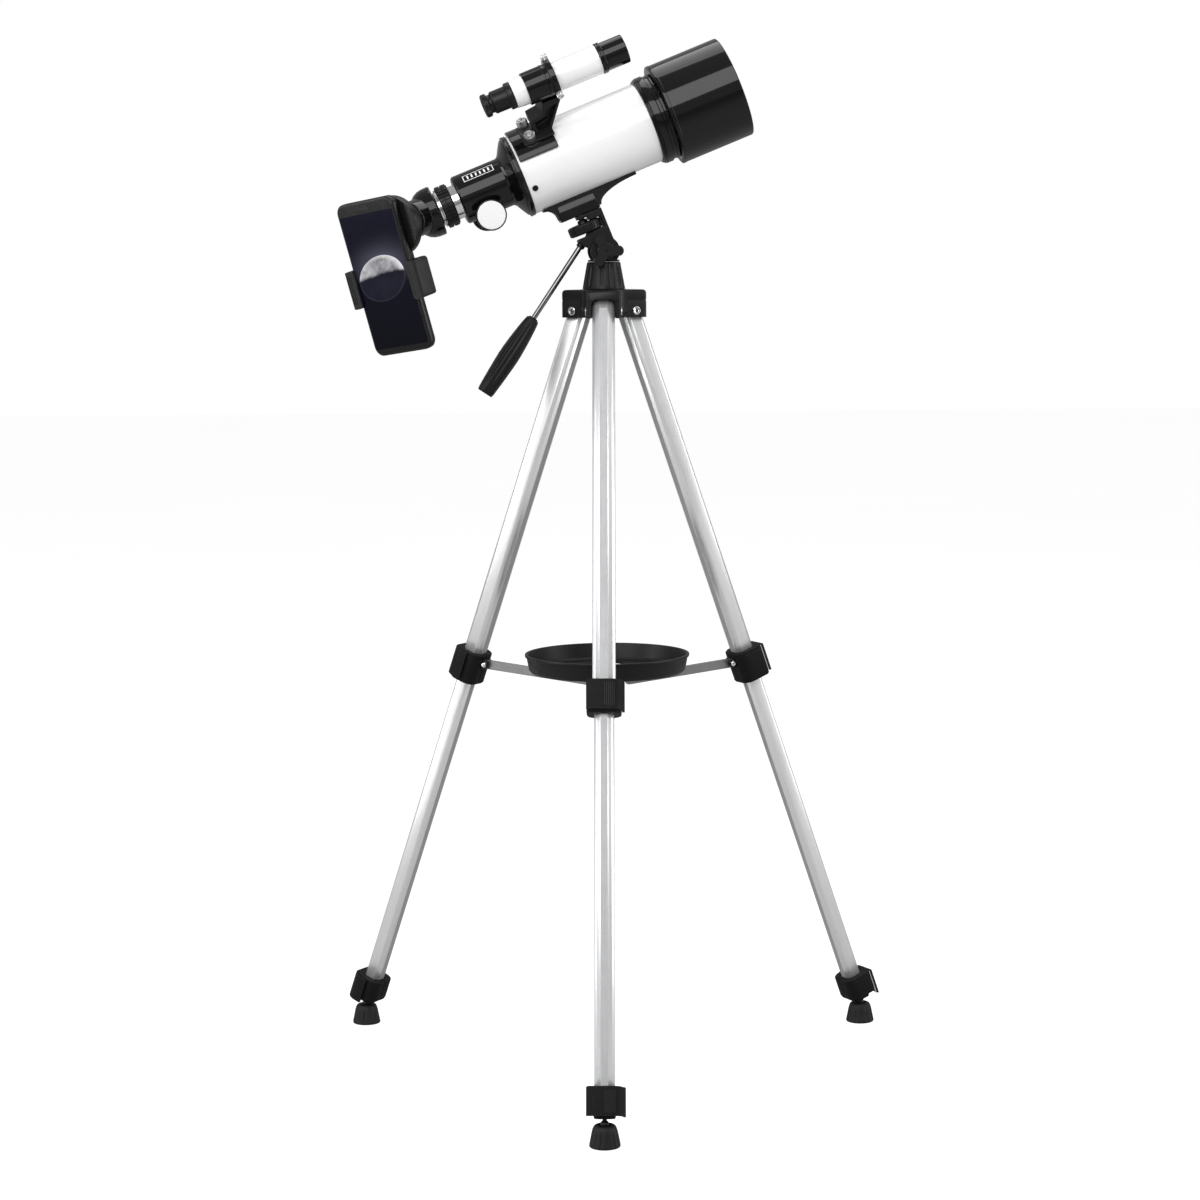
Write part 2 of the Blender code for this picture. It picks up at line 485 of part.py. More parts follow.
def focuser(optical, scope):
    rear = TUBE_REAR
    bore = DRAWTUBE_R + 0.0004
    housing = turned("focuser_housing", (
        (bore, HOUSING_REAR), (HOUSING_R - 0.0016, HOUSING_REAR), (HOUSING_R, HOUSING_REAR + 0.0016),
        (HOUSING_R, -0.0640), (0.0262, -0.0628), (0.0380, -0.0560), (0.0415, rear - 0.0050),
        (0.0415, rear - GAP), (0.0385, rear - GAP), (0.0385, rear + 0.0070), (0.0365, rear + 0.0070),
        (0.0365, -0.0520), (0.0240, -0.0590), (bore, -0.0600)), "gloss_black", optical,
        closed=True, sides=LARGE, rotation=ALONG)
    window_v = PINION_V - OPTICAL_V
    cut(housing, box_helper((0.0130, 0.0240, 0.0160), optical, (PINION_U, 0, window_v + 0.0015)))

    cover = side_prism("pinion_cover", [(u + PINION_U, v + PINION_V) for u, v in
                                        round_box(0.0230, 0.0210, 0.0035)],
                       -0.0155, 0.0155, "black_plastic", scope)
    cut(cover, rod_helper(HOUSING_R + GAP, 0.080, scope, (PINION_U, 0, OPTICAL_V), ALONG, sides=LARGE))
    cut(cover, rod_helper(PINION_R + 0.0010, 0.0110, scope, (PINION_U, 0, PINION_V), (90, 0, 0)))
    cut(cover, rod_helper(0.0025, 0.050, scope, (PINION_U, 0, PINION_V), (90, 0, 0)))

    turned("drawtube", ((DRAWTUBE_R - 0.0014, DRAWTUBE_REAR), (DRAWTUBE_R, DRAWTUBE_REAR),
                        (DRAWTUBE_R, -0.0420), (DRAWTUBE_R - 0.0014, -0.0420)),
           "chrome", optical, closed=True, rotation=ALONG)
    ring_in = DRAWTUBE_R + GAP
    turned("drawtube_ring", ((ring_in, -0.1330), (0.0190, -0.1330), (0.0208, -0.1312), (0.0213, -0.1230),
                             (0.0200, -0.1205), (ring_in, -0.1205)), "black_plastic", optical,
           closed=True, rotation=ALONG)

    pinion = frame("pinion", scope, (PINION_U, 0, PINION_V), (90, 0, 0))
    gear = [circle(PINION_R, z, 30, 0.0012, 10) for z in (-0.0045, 0.0045)]
    loops = [circle(0.0020, -0.0320, 30), circle(0.0020, -0.0045, 30), *gear,
             circle(0.0020, 0.0045, 30), circle(0.0020, 0.0320, 30)]
    place("focus_pinion", skin("focus_pinion", loops), "chrome", pinion)
    for side, turn in (("near", 0), ("far", 180)):
        knob = frame("knob_" + side, pinion, rotation=(turn, 0, 0))
        hub_bore = 0.0020 + GAP
        turned("focus_knob_" + side, (
            (hub_bore, 0.0160), (0.0050, 0.0160), (0.0050, KNOB_NEAR), (KNOB_R, KNOB_NEAR),
            (KNOB_R, KNOB_FAR - 0.0006), (KNOB_R - 0.0006, KNOB_FAR), (0.0040, KNOB_FAR - 0.0004),
            (hub_bore, 0.0322)), "chrome", knob, closed=True)


def finder(optical):
    turned_frame = frame("finder_direction", optical, rotation=(FINDER_ANGLE, 0, 0))
    sight = frame("finder_axis", turned_frame, (0, 0, FINDER_AXIS))
    wall = FINDER_R - 0.0013
    turned("finder_tube", ((wall, -0.0295), (FINDER_R - 0.0008, -0.0295), (FINDER_R, -0.0220),
                           (FINDER_R, 0.0607), (wall, 0.0607)), "white_enamel", sight,
           closed=True, rotation=ALONG)
    turned("finder_hood", ((0.0112, 0.0525), (wall - GAP, 0.0525), (wall - GAP, 0.0610), (0.0154, 0.0610),
                           (0.0154, 0.0655), (0.0142, 0.0661), (0.0142, 0.0888), (0.0130, 0.0888),
                           (0.0130, 0.0625), (0.0112, 0.0625)), "gloss_black", sight, closed=True,
           rotation=ALONG)
    turned("finder_eyepiece", ((0.0060, -0.0605), (0.0105, -0.0605), (0.0115, -0.0595), (0.0115, -0.0553),
                               (0.0092, -0.0545), (0.0092, -0.0515), (0.0111, -0.0505), (0.0111, -0.0352),
                               (0.0133, -0.0348), (0.0133, -0.0298), (0.0122, -0.0298), (0.0122, -0.0100),
                               (0.0108, -0.0100), (0.0080, -0.0480)), "black_plastic", sight,
           closed=True, rotation=ALONG)

    inner = FINDER_R + GAP
    ring = ((inner, -0.0165), (0.0162, -0.0165), (0.0162, 0.0085), (0.0206, 0.0085), (0.0206, 0.0145),
            (inner, 0.0145))
    bracket = turned("finder_bracket", ring, "black_plastic", sight, closed=True, rotation=ALONG)
    low = TUBE_R + GAP
    arm = [(0.0140, FINDER_AXIS - 0.0158), (-0.0060, FINDER_AXIS - 0.0158), (-0.0110, 0.0630),
           (-0.0225, 0.0615), (-0.0225, 0.0520), (-0.0200, 0.0430), (-0.0065, 0.0430)]
    add(bracket, side_prism("helper", arm, -0.0100, 0.0100, None, turned_frame))
    # The shoe follows the tube's own curve on both sides of the arm.
    outside = arc(0, 0, low + 0.0034, 90 - 39, 90 + 39, 14)
    inside = arc(0, 0, low, 90 + 39, 90 - 39, 14)
    shoe = [[(u, y, z) for y, z in outside + inside] for u in (-0.0470, -0.0060)]
    add(bracket, place("helper", skin("helper", shoe), None, turned_frame))


# ---------------------------------------------------------------- diagonal, eyepiece and phone
def eyepiece_group(optical):
    diagonal = frame("diagonal", optical, (DIAGONAL_U, 0, 0), (DIAGONAL_ROLL, 0, 0))
    start = DRAWTUBE_REAR - 0.0012 - DIAGONAL_U
    nose = DRAWTUBE_R - 0.0014 - GAP
    cup = ((0.0040, -0.0150), (0.0125, -0.0138), (0.0190, -0.0105), (0.0230, -0.0055), (0.0249, 0.0010),
           (0.0250, start - 0.0004), (0.0244, start), (nose, start), (nose, start + 0.0200),
           (nose - 0.0015, start + 0.0200), (nose - 0.0015, start + 0.0010))
    body = turned("diagonal_body", cup, "gloss_black", diagonal, rotation=ALONG)
    eye = frame("eyepiece_axis", diagonal, rotation=(90, 0, DIAGONAL_BEND - 90))
    add(body, turned("helper", ((0.0150, 0.0010), (0.0182, 0.0040), (0.0182, 0.0290), (0.0176, 0.0300)),
                     None, eye))
    cut(body, turned("helper", ((0.0161, 0.0120), (0.0161, 0.0400)), None, eye))

    turned("eyepiece", ((0.0158, 0.0125), (0.0158, 0.0303), (0.0170, 0.0306), (0.0172, 0.0420),
                        (0.0150, 0.0440), (0.0110, 0.0446)), "black_plastic", eye)

    adapter = turned("phone_adapter", (
        (0.0176, 0.0350), (0.0205, 0.0352), (0.0210, 0.0395), (0.0245, 0.0400), (0.0270, 0.0430),
        (0.0272, 0.0465), (0.0310, 0.0470), (0.0320, 0.0490), (0.0320, PHONE_BACK - GAP),
        (0.0125, PHONE_BACK - GAP), (0.0125, 0.0475), (0.0176, 0.0455)), "black_plastic", eye,
        closed=True)
    phone_frame = frame("phone_frame", eye, rotation=(0, 0, PHONE_ROLL))
    middle = (-CAMERA_X, -CAMERA_Y)
    bar_low, bar_high = PHONE_BACK - GAP - 0.0050, PHONE_BACK - GAP
    arm = [(-0.0120, -0.0160), (0.0120, -0.0160), (0.0120, JAW_Y - JAW_HALF + middle[1]),
           (-0.0120, JAW_Y - JAW_HALF + middle[1])]
    add(adapter, prism("helper", arm, bar_low, bar_high - 0.0001, None, phone_frame))
    half_w = PHONE_W / 2
    bar_y = (JAW_Y - JAW_HALF + middle[1], JAW_Y + JAW_HALF + middle[1])
    bar = [(middle[0] - half_w + 0.0010, bar_y[0]), (middle[0] + half_w + 0.0070, bar_y[0]),
           (middle[0] + half_w + 0.0070, bar_y[1]), (middle[0] - half_w + 0.0010, bar_y[1])]
    add(adapter, prism("helper", bar, bar_low + 0.0004, bar_high - 0.0003, None, phone_frame))
    front = PHONE_BACK + PHONE_T + GAP

    def jaw_outline(side, back):
        """The clip's section in X and Z: a thick wall outside the phone with a lip over its front."""
        edge = middle[0] + side * half_w
        return [(edge + side * GAP, back), (edge + side * 0.0100, back),
                (edge + side * 0.0100, front + 0.0010), (edge + side * 0.0080, front + 0.0030),
                (edge - side * 0.0030, front + 0.0030), (edge - side * 0.0030, front),
                (edge + side * GAP, front)]

    add(adapter, side_prism("helper", jaw_outline(1, 0.0470), *bar_y, None, phone_frame))
    jaw_points = jaw_outline(-1, 0.0440)
    tongue_top = bar_low - GAP
    jaw_points = [(middle[0] - 0.0100, 0.0440), *jaw_points[1:], (jaw_points[0][0], tongue_top),
                  (middle[0] - 0.0100, tongue_top)]
    side_prism("phone_jaw", jaw_points, *bar_y, "black_plastic", phone_frame)

    corners = round_box(PHONE_W, PHONE_H, PHONE_CORNER, 6)
    outline = [(x + middle[0], y + middle[1]) for x, y in corners]
    inset = [(x * 0.984 + middle[0], y * 0.992 + middle[1]) for x, y in corners]
    loops = [[(x, y, PHONE_BACK + z) for x, y in shape] for shape, z in
             ((inset, 0), (outline, 0.0012), (outline, PHONE_T - 0.0008), (inset, PHONE_T))]
    place("phone", skin("phone", loops), "phone_glass", phone_frame)


# ---------------------------------------------------------------- assembly
tripod_frame = frame("tripod", location=(TRIPOD_X, TRIPOD_Y, 0))
tripod_hub(tripod_frame)
for leg_side, leg_azimuth in LEG_AZIMUTHS.items():
    make_leg(leg_side, leg_azimuth, tripod_frame)
accessory_tray(tripod_frame)
head_base_cone(tripod_frame)

pan = frame("pan", tripod_frame, (0, 0, TILT_Z), (0, 0, PAN))
tilt_housing(pan)
tilt_lock_knob(pan)
telescope = frame("telescope", pan, rotation=(0, -ELEVATION, 0))
platform(telescope)
platform_thumbwheel(telescope)
pan_handle(telescope)
tube_saddle(telescope)
optical_axis = frame("optical_axis", telescope, (0, 0, OPTICAL_V))
tube_parts(optical_axis)
focuser(optical_axis, telescope)
finder(optical_axis)
eyepiece_group(optical_axis)
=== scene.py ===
"""Looks for the telescope on its tripod: fine surfaces, finishes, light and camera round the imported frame.

Metres, +Z up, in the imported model's frame. Local frames, taken from the joints:
  scope     at the tilt axis: +X toward the sky, +Y away from the near side, +Z square to the tube
  optical   scope moved up to the main tube's axis
  finder    on the finder's axis: +X toward the sky, +Z away from the main tube
  eye       at the diagonal's mirror: +Z out along the eyepiece, +X away from the clip's sprung jaw
  pinion    on the focuser's axle: +Z toward the near side
  handle    at the handle's root: +Z out along the rod
  pan_head  at the tilt axis, turning with the pan only: +Z up
  leg       at a leg's hip: +X outward, +Y round the tripod, -Z down along the leg
"""
import json
import math

import bmesh
import bpy
from mathutils import Matrix, Vector


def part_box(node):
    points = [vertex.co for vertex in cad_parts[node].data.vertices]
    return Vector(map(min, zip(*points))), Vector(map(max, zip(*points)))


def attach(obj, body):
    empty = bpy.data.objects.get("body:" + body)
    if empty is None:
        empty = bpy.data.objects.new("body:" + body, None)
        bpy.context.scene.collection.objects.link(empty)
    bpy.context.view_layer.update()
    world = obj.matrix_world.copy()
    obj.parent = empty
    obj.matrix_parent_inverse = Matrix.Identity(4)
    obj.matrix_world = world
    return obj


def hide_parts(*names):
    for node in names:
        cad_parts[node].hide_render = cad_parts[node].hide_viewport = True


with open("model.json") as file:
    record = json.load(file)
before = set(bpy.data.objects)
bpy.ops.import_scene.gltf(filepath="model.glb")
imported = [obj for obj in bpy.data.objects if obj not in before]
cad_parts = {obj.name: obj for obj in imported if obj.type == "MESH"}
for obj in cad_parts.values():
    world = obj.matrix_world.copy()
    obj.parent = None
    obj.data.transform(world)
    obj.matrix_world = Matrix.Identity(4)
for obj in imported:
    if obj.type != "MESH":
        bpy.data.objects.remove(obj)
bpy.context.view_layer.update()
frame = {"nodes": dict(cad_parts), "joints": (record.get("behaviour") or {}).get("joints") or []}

GAP = 0.0003                        # clearance between pieces that touch
SHARP = 38                          # degrees between faces from which an edge stays hard
FINE, ROUND, SMALL = 144, 96, 48    # sides of turned pieces, by size
SIDES = ("front", "right", "left")
JOINTS = {joint["name"]: joint for joint in frame["joints"]}


def pivot(joint):
    return Vector(JOINTS[joint]["pos_m"])


def along(joint):
    return Vector(JOINTS[joint]["axis"]).normalized()


def shift(x=0.0, y=0.0, z=0.0):
    return Matrix.Translation((x, y, z))


def turn(degrees, axis):
    return Matrix.Rotation(math.radians(degrees), 4, axis)


def axes(origin, x=None, y=None, z=None):
    """A frame at the origin from two of its directions."""
    if z is None:
        z = x.cross(y)
    if x is None:
        x = y.cross(z)
    z = z.normalized()
    y = z.cross(x).normalized()
    x = y.cross(z)
    turned_axes = Matrix((x, y, z)).transposed().to_4x4()
    return Matrix.Translation(origin) @ turned_axes


ROLL_TO_X = turn(90, "Y")           # turned pieces: their height runs along X

tripod = Matrix.Translation(Vector((pivot("pan").x, pivot("pan").y, 0)))
scope = axes(pivot("tilt"), x=-along("focus"), y=along("tilt"))
OPTICAL_V = (scope.inverted() @ pivot("diagonal_turn")).z
optical = scope @ shift(z=OPTICAL_V)
barrel_axis = optical @ ROLL_TO_X       # optical, for turned pieces
eye = axes(pivot("eyepiece_turn"), x=-along("phone_clip_open"), z=along("eyepiece_turn"))
pinion = axes(pivot("focus_knobs"), x=optical.to_3x3().col[0], z=along("focus_knobs"))
handle = axes(pivot("handle_twist"), x=scope.to_3x3().col[1], z=along("handle_twist"))
UP = Vector((0, 0, 1))
pan_head = axes(pivot("tilt"), y=along("tilt"), z=UP)


def node_middle(node):
    low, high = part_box(node)
    return (low + high) / 2


finder_from_optical = optical.inverted() @ node_middle("finder_tube")
FINDER_LEAN = math.degrees(math.atan2(-finder_from_optical.y, finder_from_optical.z))
FINDER_AXIS = math.hypot(finder_from_optical.y, finder_from_optical.z)
toward_finder = optical @ turn(FINDER_LEAN, "X")
finder = toward_finder @ shift(z=FINDER_AXIS)


# ---------------------------------------------------------------- shapes
def shaded(mesh, sharp=SHARP):
    mesh.shade_smooth()
    mesh.set_sharp_from_angle(angle=math.radians(sharp))
    return mesh


def built(shape, sharp=SHARP):
    """The mesh of a finished bmesh."""
    mesh = bpy.data.meshes.new("shape")
    shape.to_mesh(mesh)
    shape.free()
    return shaded(mesh, sharp)


def placed(name, data, where=Matrix()):
    """A new object in the scene."""
    made = bpy.data.objects.new(name, data)
    made.matrix_world = where
    bpy.context.scene.collection.objects.link(made)
    return made


def mesh_from(loops, closed=False, sharp=SHARP):
    """A mesh through loops of equal point counts; its ends are capped, or joined if closed."""
    shape = bmesh.new()
    rings = [[shape.verts.new(point) for point in loop] for loop in loops]
    pairs = list(zip(rings, rings[1:]))
    if closed:
        pairs.append((rings[-1], rings[0]))
    for lower, upper in pairs:
        for i in range(len(lower)):
            j = (i + 1) % len(lower)
            shape.faces.new((lower[i], lower[j], upper[j], upper[i]))
    if not closed:
        shape.faces.new(rings[0])
        shape.faces.new(rings[-1])
    bmesh.ops.recalc_face_normals(shape, faces=shape.faces)
    return built(shape, sharp)


def eased(points, radius, steps=3, closed=False):
    """The outline with its corners rounded by up to that radius, where it bends by over 18 degrees."""
    result = []
    for i, point in enumerate(points):
        if not closed and i in (0, len(points) - 1):
            result.append(tuple(point))
            continue
        here = Vector(point)
        back = Vector(points[i - 1]) - here
        ahead = Vector(points[(i + 1) % len(points)]) - here
        if back.angle(ahead) > math.radians(162):
            result.append(tuple(point))
            continue
        start = here + back.normalized() * min(radius, 0.45 * back.length)
        end = here + ahead.normalized() * min(radius, 0.45 * ahead.length)
        for k in range(steps + 1):
            t = k / steps
            result.append(tuple(start * (1 - t) ** 2 + here * 2 * t * (1 - t) + end * t * t))
    return result


def ring(radius, height, sides, wave=None):
    """Points round a circle; wave(turn, radius, height) may change the radius."""
    points = []
    for i in range(sides):
        angle = math.tau * i / sides
        r = wave(angle, radius, height) if wave else radius
        points.append((r * math.cos(angle), r * math.sin(angle), height))
    return points


def knurled(count, depth, above, over=-1.0):
    """A wave of round ribs, where the radius and the height are over their limits."""
    def wave(angle, radius, height):
        if radius <= above or height <= over:
            return radius
        return radius - depth * (0.5 - 0.5 * math.cos(count * angle))
    return wave


def toothed(count, depth, above, level, under=1.0):
    """A wave of square notches, over a radius and under a height; level is the cosine at their edges."""
    def wave(angle, radius, height):
        if radius <= above or height >= under:
            return radius
        return radius - depth * (math.cos(count * angle) > level)
    return wave


def turned(profile, sides=ROUND, closed=False, ease=0.0004, wave=None, sharp=SHARP):
    """A turned mesh; profile is (radius, height), its corners eased."""
    points = eased(profile, ease, closed=closed)
    return mesh_from([ring(r, z, sides, wave) for r, z in points], closed, sharp)


def prism(outline, low, high, axis="Z"):
    """An outline carried along an axis; its values are the other two coordinates, in order."""
    spot = "XYZ".index(axis)
    return mesh_from([[(*pair[:spot], place, *pair[spot:]) for pair in outline] for place in (low, high)])


def round_box(width, height, corner, steps=6):
    """A rectangle with rounded corners; corner is one radius, or four starting at +X +Y."""
    radii = corner if isinstance(corner, tuple) else (corner,) * 4
    points = []
    for quarter, (sx, sy) in enumerate(((1, 1), (-1, 1), (-1, -1), (1, -1))):
        r = radii[quarter]
        points += arc(sx * (width / 2 - r), sy * (height / 2 - r), r, 90 * quarter,
                      90 * quarter + 90, steps)
    return points


def arc(cx, cy, radius, start, end, steps, tall=None):
    """Points round a circle's centre, or an oval's if tall is its second half-width."""
    tall = tall or radius
    angles = [math.radians(start + (end - start) * i / steps) for i in range(steps + 1)]
    return [(cx + radius * math.cos(angle), cy + tall * math.sin(angle)) for angle in angles]


def box_mesh(x, y, z):
    return prism([(-x / 2, -y / 2), (x / 2, -y / 2), (x / 2, y / 2), (-x / 2, y / 2)], -z / 2, z / 2)


def rod_mesh(radius, length, sides=SMALL):
    return mesh_from([ring(radius, z, sides) for z in (-length / 2, length / 2)])


def combine(first, second, where=Matrix(), operation="UNION"):
    """The Boolean of the second mesh, put somewhere, with the first."""
    target, helper = placed("working", first), placed("helper", second, where)
    step = target.modifiers.new("combine", "BOOLEAN")
    step.operation = operation
    step.object = helper
    bpy.context.view_layer.update()
    found = target.evaluated_get(bpy.context.evaluated_depsgraph_get())
    mesh = bpy.data.meshes.new_from_object(found)
    bpy.data.objects.remove(target)
    bpy.data.objects.remove(helper)
    return shaded(mesh)


def cut(first, second, where=Matrix()):
    return combine(first, second, where, "DIFFERENCE")


def gathered(parts):
    """One mesh from separate closed (mesh, matrix) parts."""
    shape = bmesh.new()
    for mesh, where in parts:
        copy = mesh.copy()
        copy.transform(where)
        shape.from_mesh(copy)
        bpy.data.meshes.remove(copy)
    return built(shape)


# ---------------------------------------------------------------- finishes
class Graph:
    """A short way to add and join shader nodes."""

    def __init__(self, name):
        self.material = bpy.data.materials.new(name)
        self.material.use_nodes = True
        self.tree = self.material.node_tree
        self.shader = self.tree.nodes["Principled BSDF"]

    def node(self, kind, values=(), output=0, **settings):
        made = self.tree.nodes.new(kind)
        for key, value in settings.items():
            setattr(made, key, value)
        for socket, value in values:
            if hasattr(value, "is_output"):
                self.tree.links.new(value, made.inputs[socket])
            else:
                made.inputs[socket].default_value = value
        return made.outputs[output]

    def link(self, source, socket):
        self.tree.links.new(source, self.shader.inputs[socket])

    def constants(self, values):
        for socket, value in values.items():
            self.shader.inputs[socket].default_value = value

    def object_place(self, scale=(1, 1, 1), move=(0, 0, 0)):
        place = self.node("ShaderNodeTexCoord", output="Object")
        return self.node("ShaderNodeMapping", ((0, place), (1, move), (3, scale)))

    def noise(self, scale, detail=3.0, roughness=0.55, stretch=(1, 1, 1)):
        return self.node("ShaderNodeTexNoise", (("Vector", self.object_place(stretch)),
                ("Scale", scale), ("Detail", detail), ("Roughness", roughness)))

    def span(self, value, low, high, start=0.3, end=0.7):
        """The value's start to end carried to low to high."""
        return self.node("ShaderNodeMapRange", ((0, value), (1, start), (2, end), (3, low), (4, high)))

    def mix(self, factor, first, second):
        return self.node("ShaderNodeMix", ((0, factor), (6, first), (7, second)), 2, data_type="RGBA")

    def dot(self, first, second):
        return self.node("ShaderNodeVectorMath", ((0, first), (1, second)), "Value",
                operation="DOT_PRODUCT")

    def math(self, operation, *values):
        return self.node("ShaderNodeMath", tuple(enumerate(values)), operation=operation)


def shade(color, factor):
    return tuple(min(1.0, c * factor) for c in color) + (1.0,)


def finish(name, color, roughness, metallic=0.0, specular=0.5, coat=0.0, tone=0.08, spread=0.04,
           grain=1800.0, depth=0.00002, strength=0.25, stretch=(1, 1, 1), wear=0.0, worn=(0.3, 0.3, 0.3)):
    """A moulded, painted or metal finish: tone and roughness drift, a fine grain, and edges worn lighter."""
    graph = Graph(name)
    drift = graph.noise(38.0)
    fine = graph.noise(grain, 2.0, 0.6, stretch)
    base = graph.mix(graph.span(drift, 0.0, 1.0), shade(color, 1 - tone), shade(color, 1 + tone))
    if stretch != (1, 1, 1):
        base = graph.mix(graph.span(fine, 0.0, 0.35), base, shade(color, 0.72))
    if wear:
        rounded = graph.node("ShaderNodeBevel", ((0, 0.0006),), samples=4)
        true_normal = graph.node("ShaderNodeNewGeometry", output="Normal")
        edge = graph.span(graph.dot(rounded, true_normal), wear, 0.0, 0.8, 0.985)
        patch = graph.math("MULTIPLY", edge, graph.span(graph.noise(240.0), 0.2, 1.0))
        base = graph.mix(patch, base, (*worn, 1.0))
    graph.link(base, "Base Color")
    uneven = graph.span(graph.noise(90.0, 4.0), roughness - spread, roughness + spread)
    uneven = graph.math("ADD", uneven, graph.span(fine, -0.02, 0.03))
    graph.link(uneven, "Roughness")
    bump = graph.node("ShaderNodeBump", (("Strength", strength), ("Distance", depth), ("Height", fine)))
    graph.link(bump, "Normal")
    graph.constants({"Metallic": metallic, "Specular IOR Level": specular,
            "Coat Weight": coat, "Coat Roughness": 0.06})
    return graph.material


def glass_finish():
    graph = Graph("coated_glass")
    tint = graph.mix(graph.span(graph.noise(30.0), 0.0, 1.0), (0.03, 0.07, 0.1, 1), (0.06, 0.05, 0.11, 1))
    graph.link(tint, "Base Color")
    graph.link(graph.span(graph.noise(160.0), 0.015, 0.05), "Roughness")
    graph.constants({"Coat Weight": 1.0, "Coat Roughness": 0.02})
    return graph.material


MOON_X, MOON_Y = -0.0014, 0.00195       # from the middle of the picture
MOON_ACROSS, MOON_UP = (0.0301, -0.0022), (0.0085, 0.0226)     # the two half-widths of its oval


def screen_finish():
    """A night sky with a half-lit moon, generic, drawn from noise and a skewed oval."""
    graph = Graph("night_screen")
    place = graph.object_place(move=(-MOON_X, -MOON_Y, 0))
    skew = MOON_ACROSS[0] * MOON_UP[1] - MOON_ACROSS[1] * MOON_UP[0]
    across = graph.dot(place, (MOON_UP[1] / skew, -MOON_UP[0] / skew, 0))
    up = graph.dot(place, (-MOON_ACROSS[1] / skew, MOON_ACROSS[0] / skew, 0))
    flat = graph.node("ShaderNodeCombineXYZ", ((0, across), (1, up)))
    squares = [graph.math("MULTIPLY", part, part) for part in (across, up)]
    distance = graph.math("SQRT", graph.math("ADD", *squares))
    disc = graph.span(distance, 1.0, 0.0, 0.985, 1.0)
    seas = graph.node("ShaderNodeTexNoise", (("Vector", flat), ("Scale", 1.35), ("Detail", 6.0),
            ("Roughness", 0.6)))
    craters = graph.node("ShaderNodeTexVoronoi", (("Vector", flat), ("Scale", 7.0)), feature="SMOOTH_F1")
    relief = graph.math("ADD", graph.math("MULTIPLY", seas, 0.8), graph.math("MULTIPLY", craters, 0.16))
    light = graph.mix(graph.span(relief, 0.0, 1.0, 0.36, 0.6), (0.13, 0.13, 0.145, 1),
            (0.48, 0.48, 0.5, 1))
    rim = graph.span(graph.math("ADD", distance, graph.math("MULTIPLY", across, 0.1)), 0.0, 0.8, 0.8,
            1.05)
    light = graph.mix(rim, light, (0.86, 0.86, 0.88, 1))
    edge = graph.math("SUBTRACT", up, graph.math("ADD", 0.2, graph.math("MULTIPLY", across, 0.2)))
    edge = graph.math("ADD", edge, graph.math("MULTIPLY", graph.math("MULTIPLY", across, across), 0.1))
    edge = graph.math("ADD", edge, graph.span(seas, -0.05, 0.05))
    lit = graph.span(edge, 0.0, 1.0, -0.04, 0.1)
    dark = graph.mix(graph.span(seas, 0.0, 1.0), (0.005, 0.005, 0.013, 1), (0.013, 0.013, 0.024, 1))
    dark = graph.mix(graph.span(distance, 0.0, 0.55, 0.93, 1.0), dark, (0.05, 0.05, 0.07, 1))
    moon = graph.mix(lit, dark, light)
    halo = graph.span(distance, 1.0, 0.0, 0.8, 2.3)
    halo = graph.math("MULTIPLY", graph.math("POWER", halo, 2.6), graph.span(up, 0.0, 1.0, -0.2, 1.0))
    sky = graph.mix(graph.span(up, 0.0, 1.0, -3.0, 2.6), (0.0008, 0.0008, 0.0032, 1),
            (0.0028, 0.0028, 0.011, 1))
    sky = graph.mix(halo, sky, (0.085, 0.085, 0.12, 1))
    picture = graph.mix(disc, sky, moon)
    graph.link(graph.mix(0.06, (0.002, 0.002, 0.003, 1), picture), "Base Color")
    graph.link(picture, "Emission Color")
    graph.link(graph.span(graph.noise(70.0), 0.05, 0.12), "Roughness")
    graph.constants({"Emission Strength": 1.0, "Specular IOR Level": 0.06})
    return graph.material


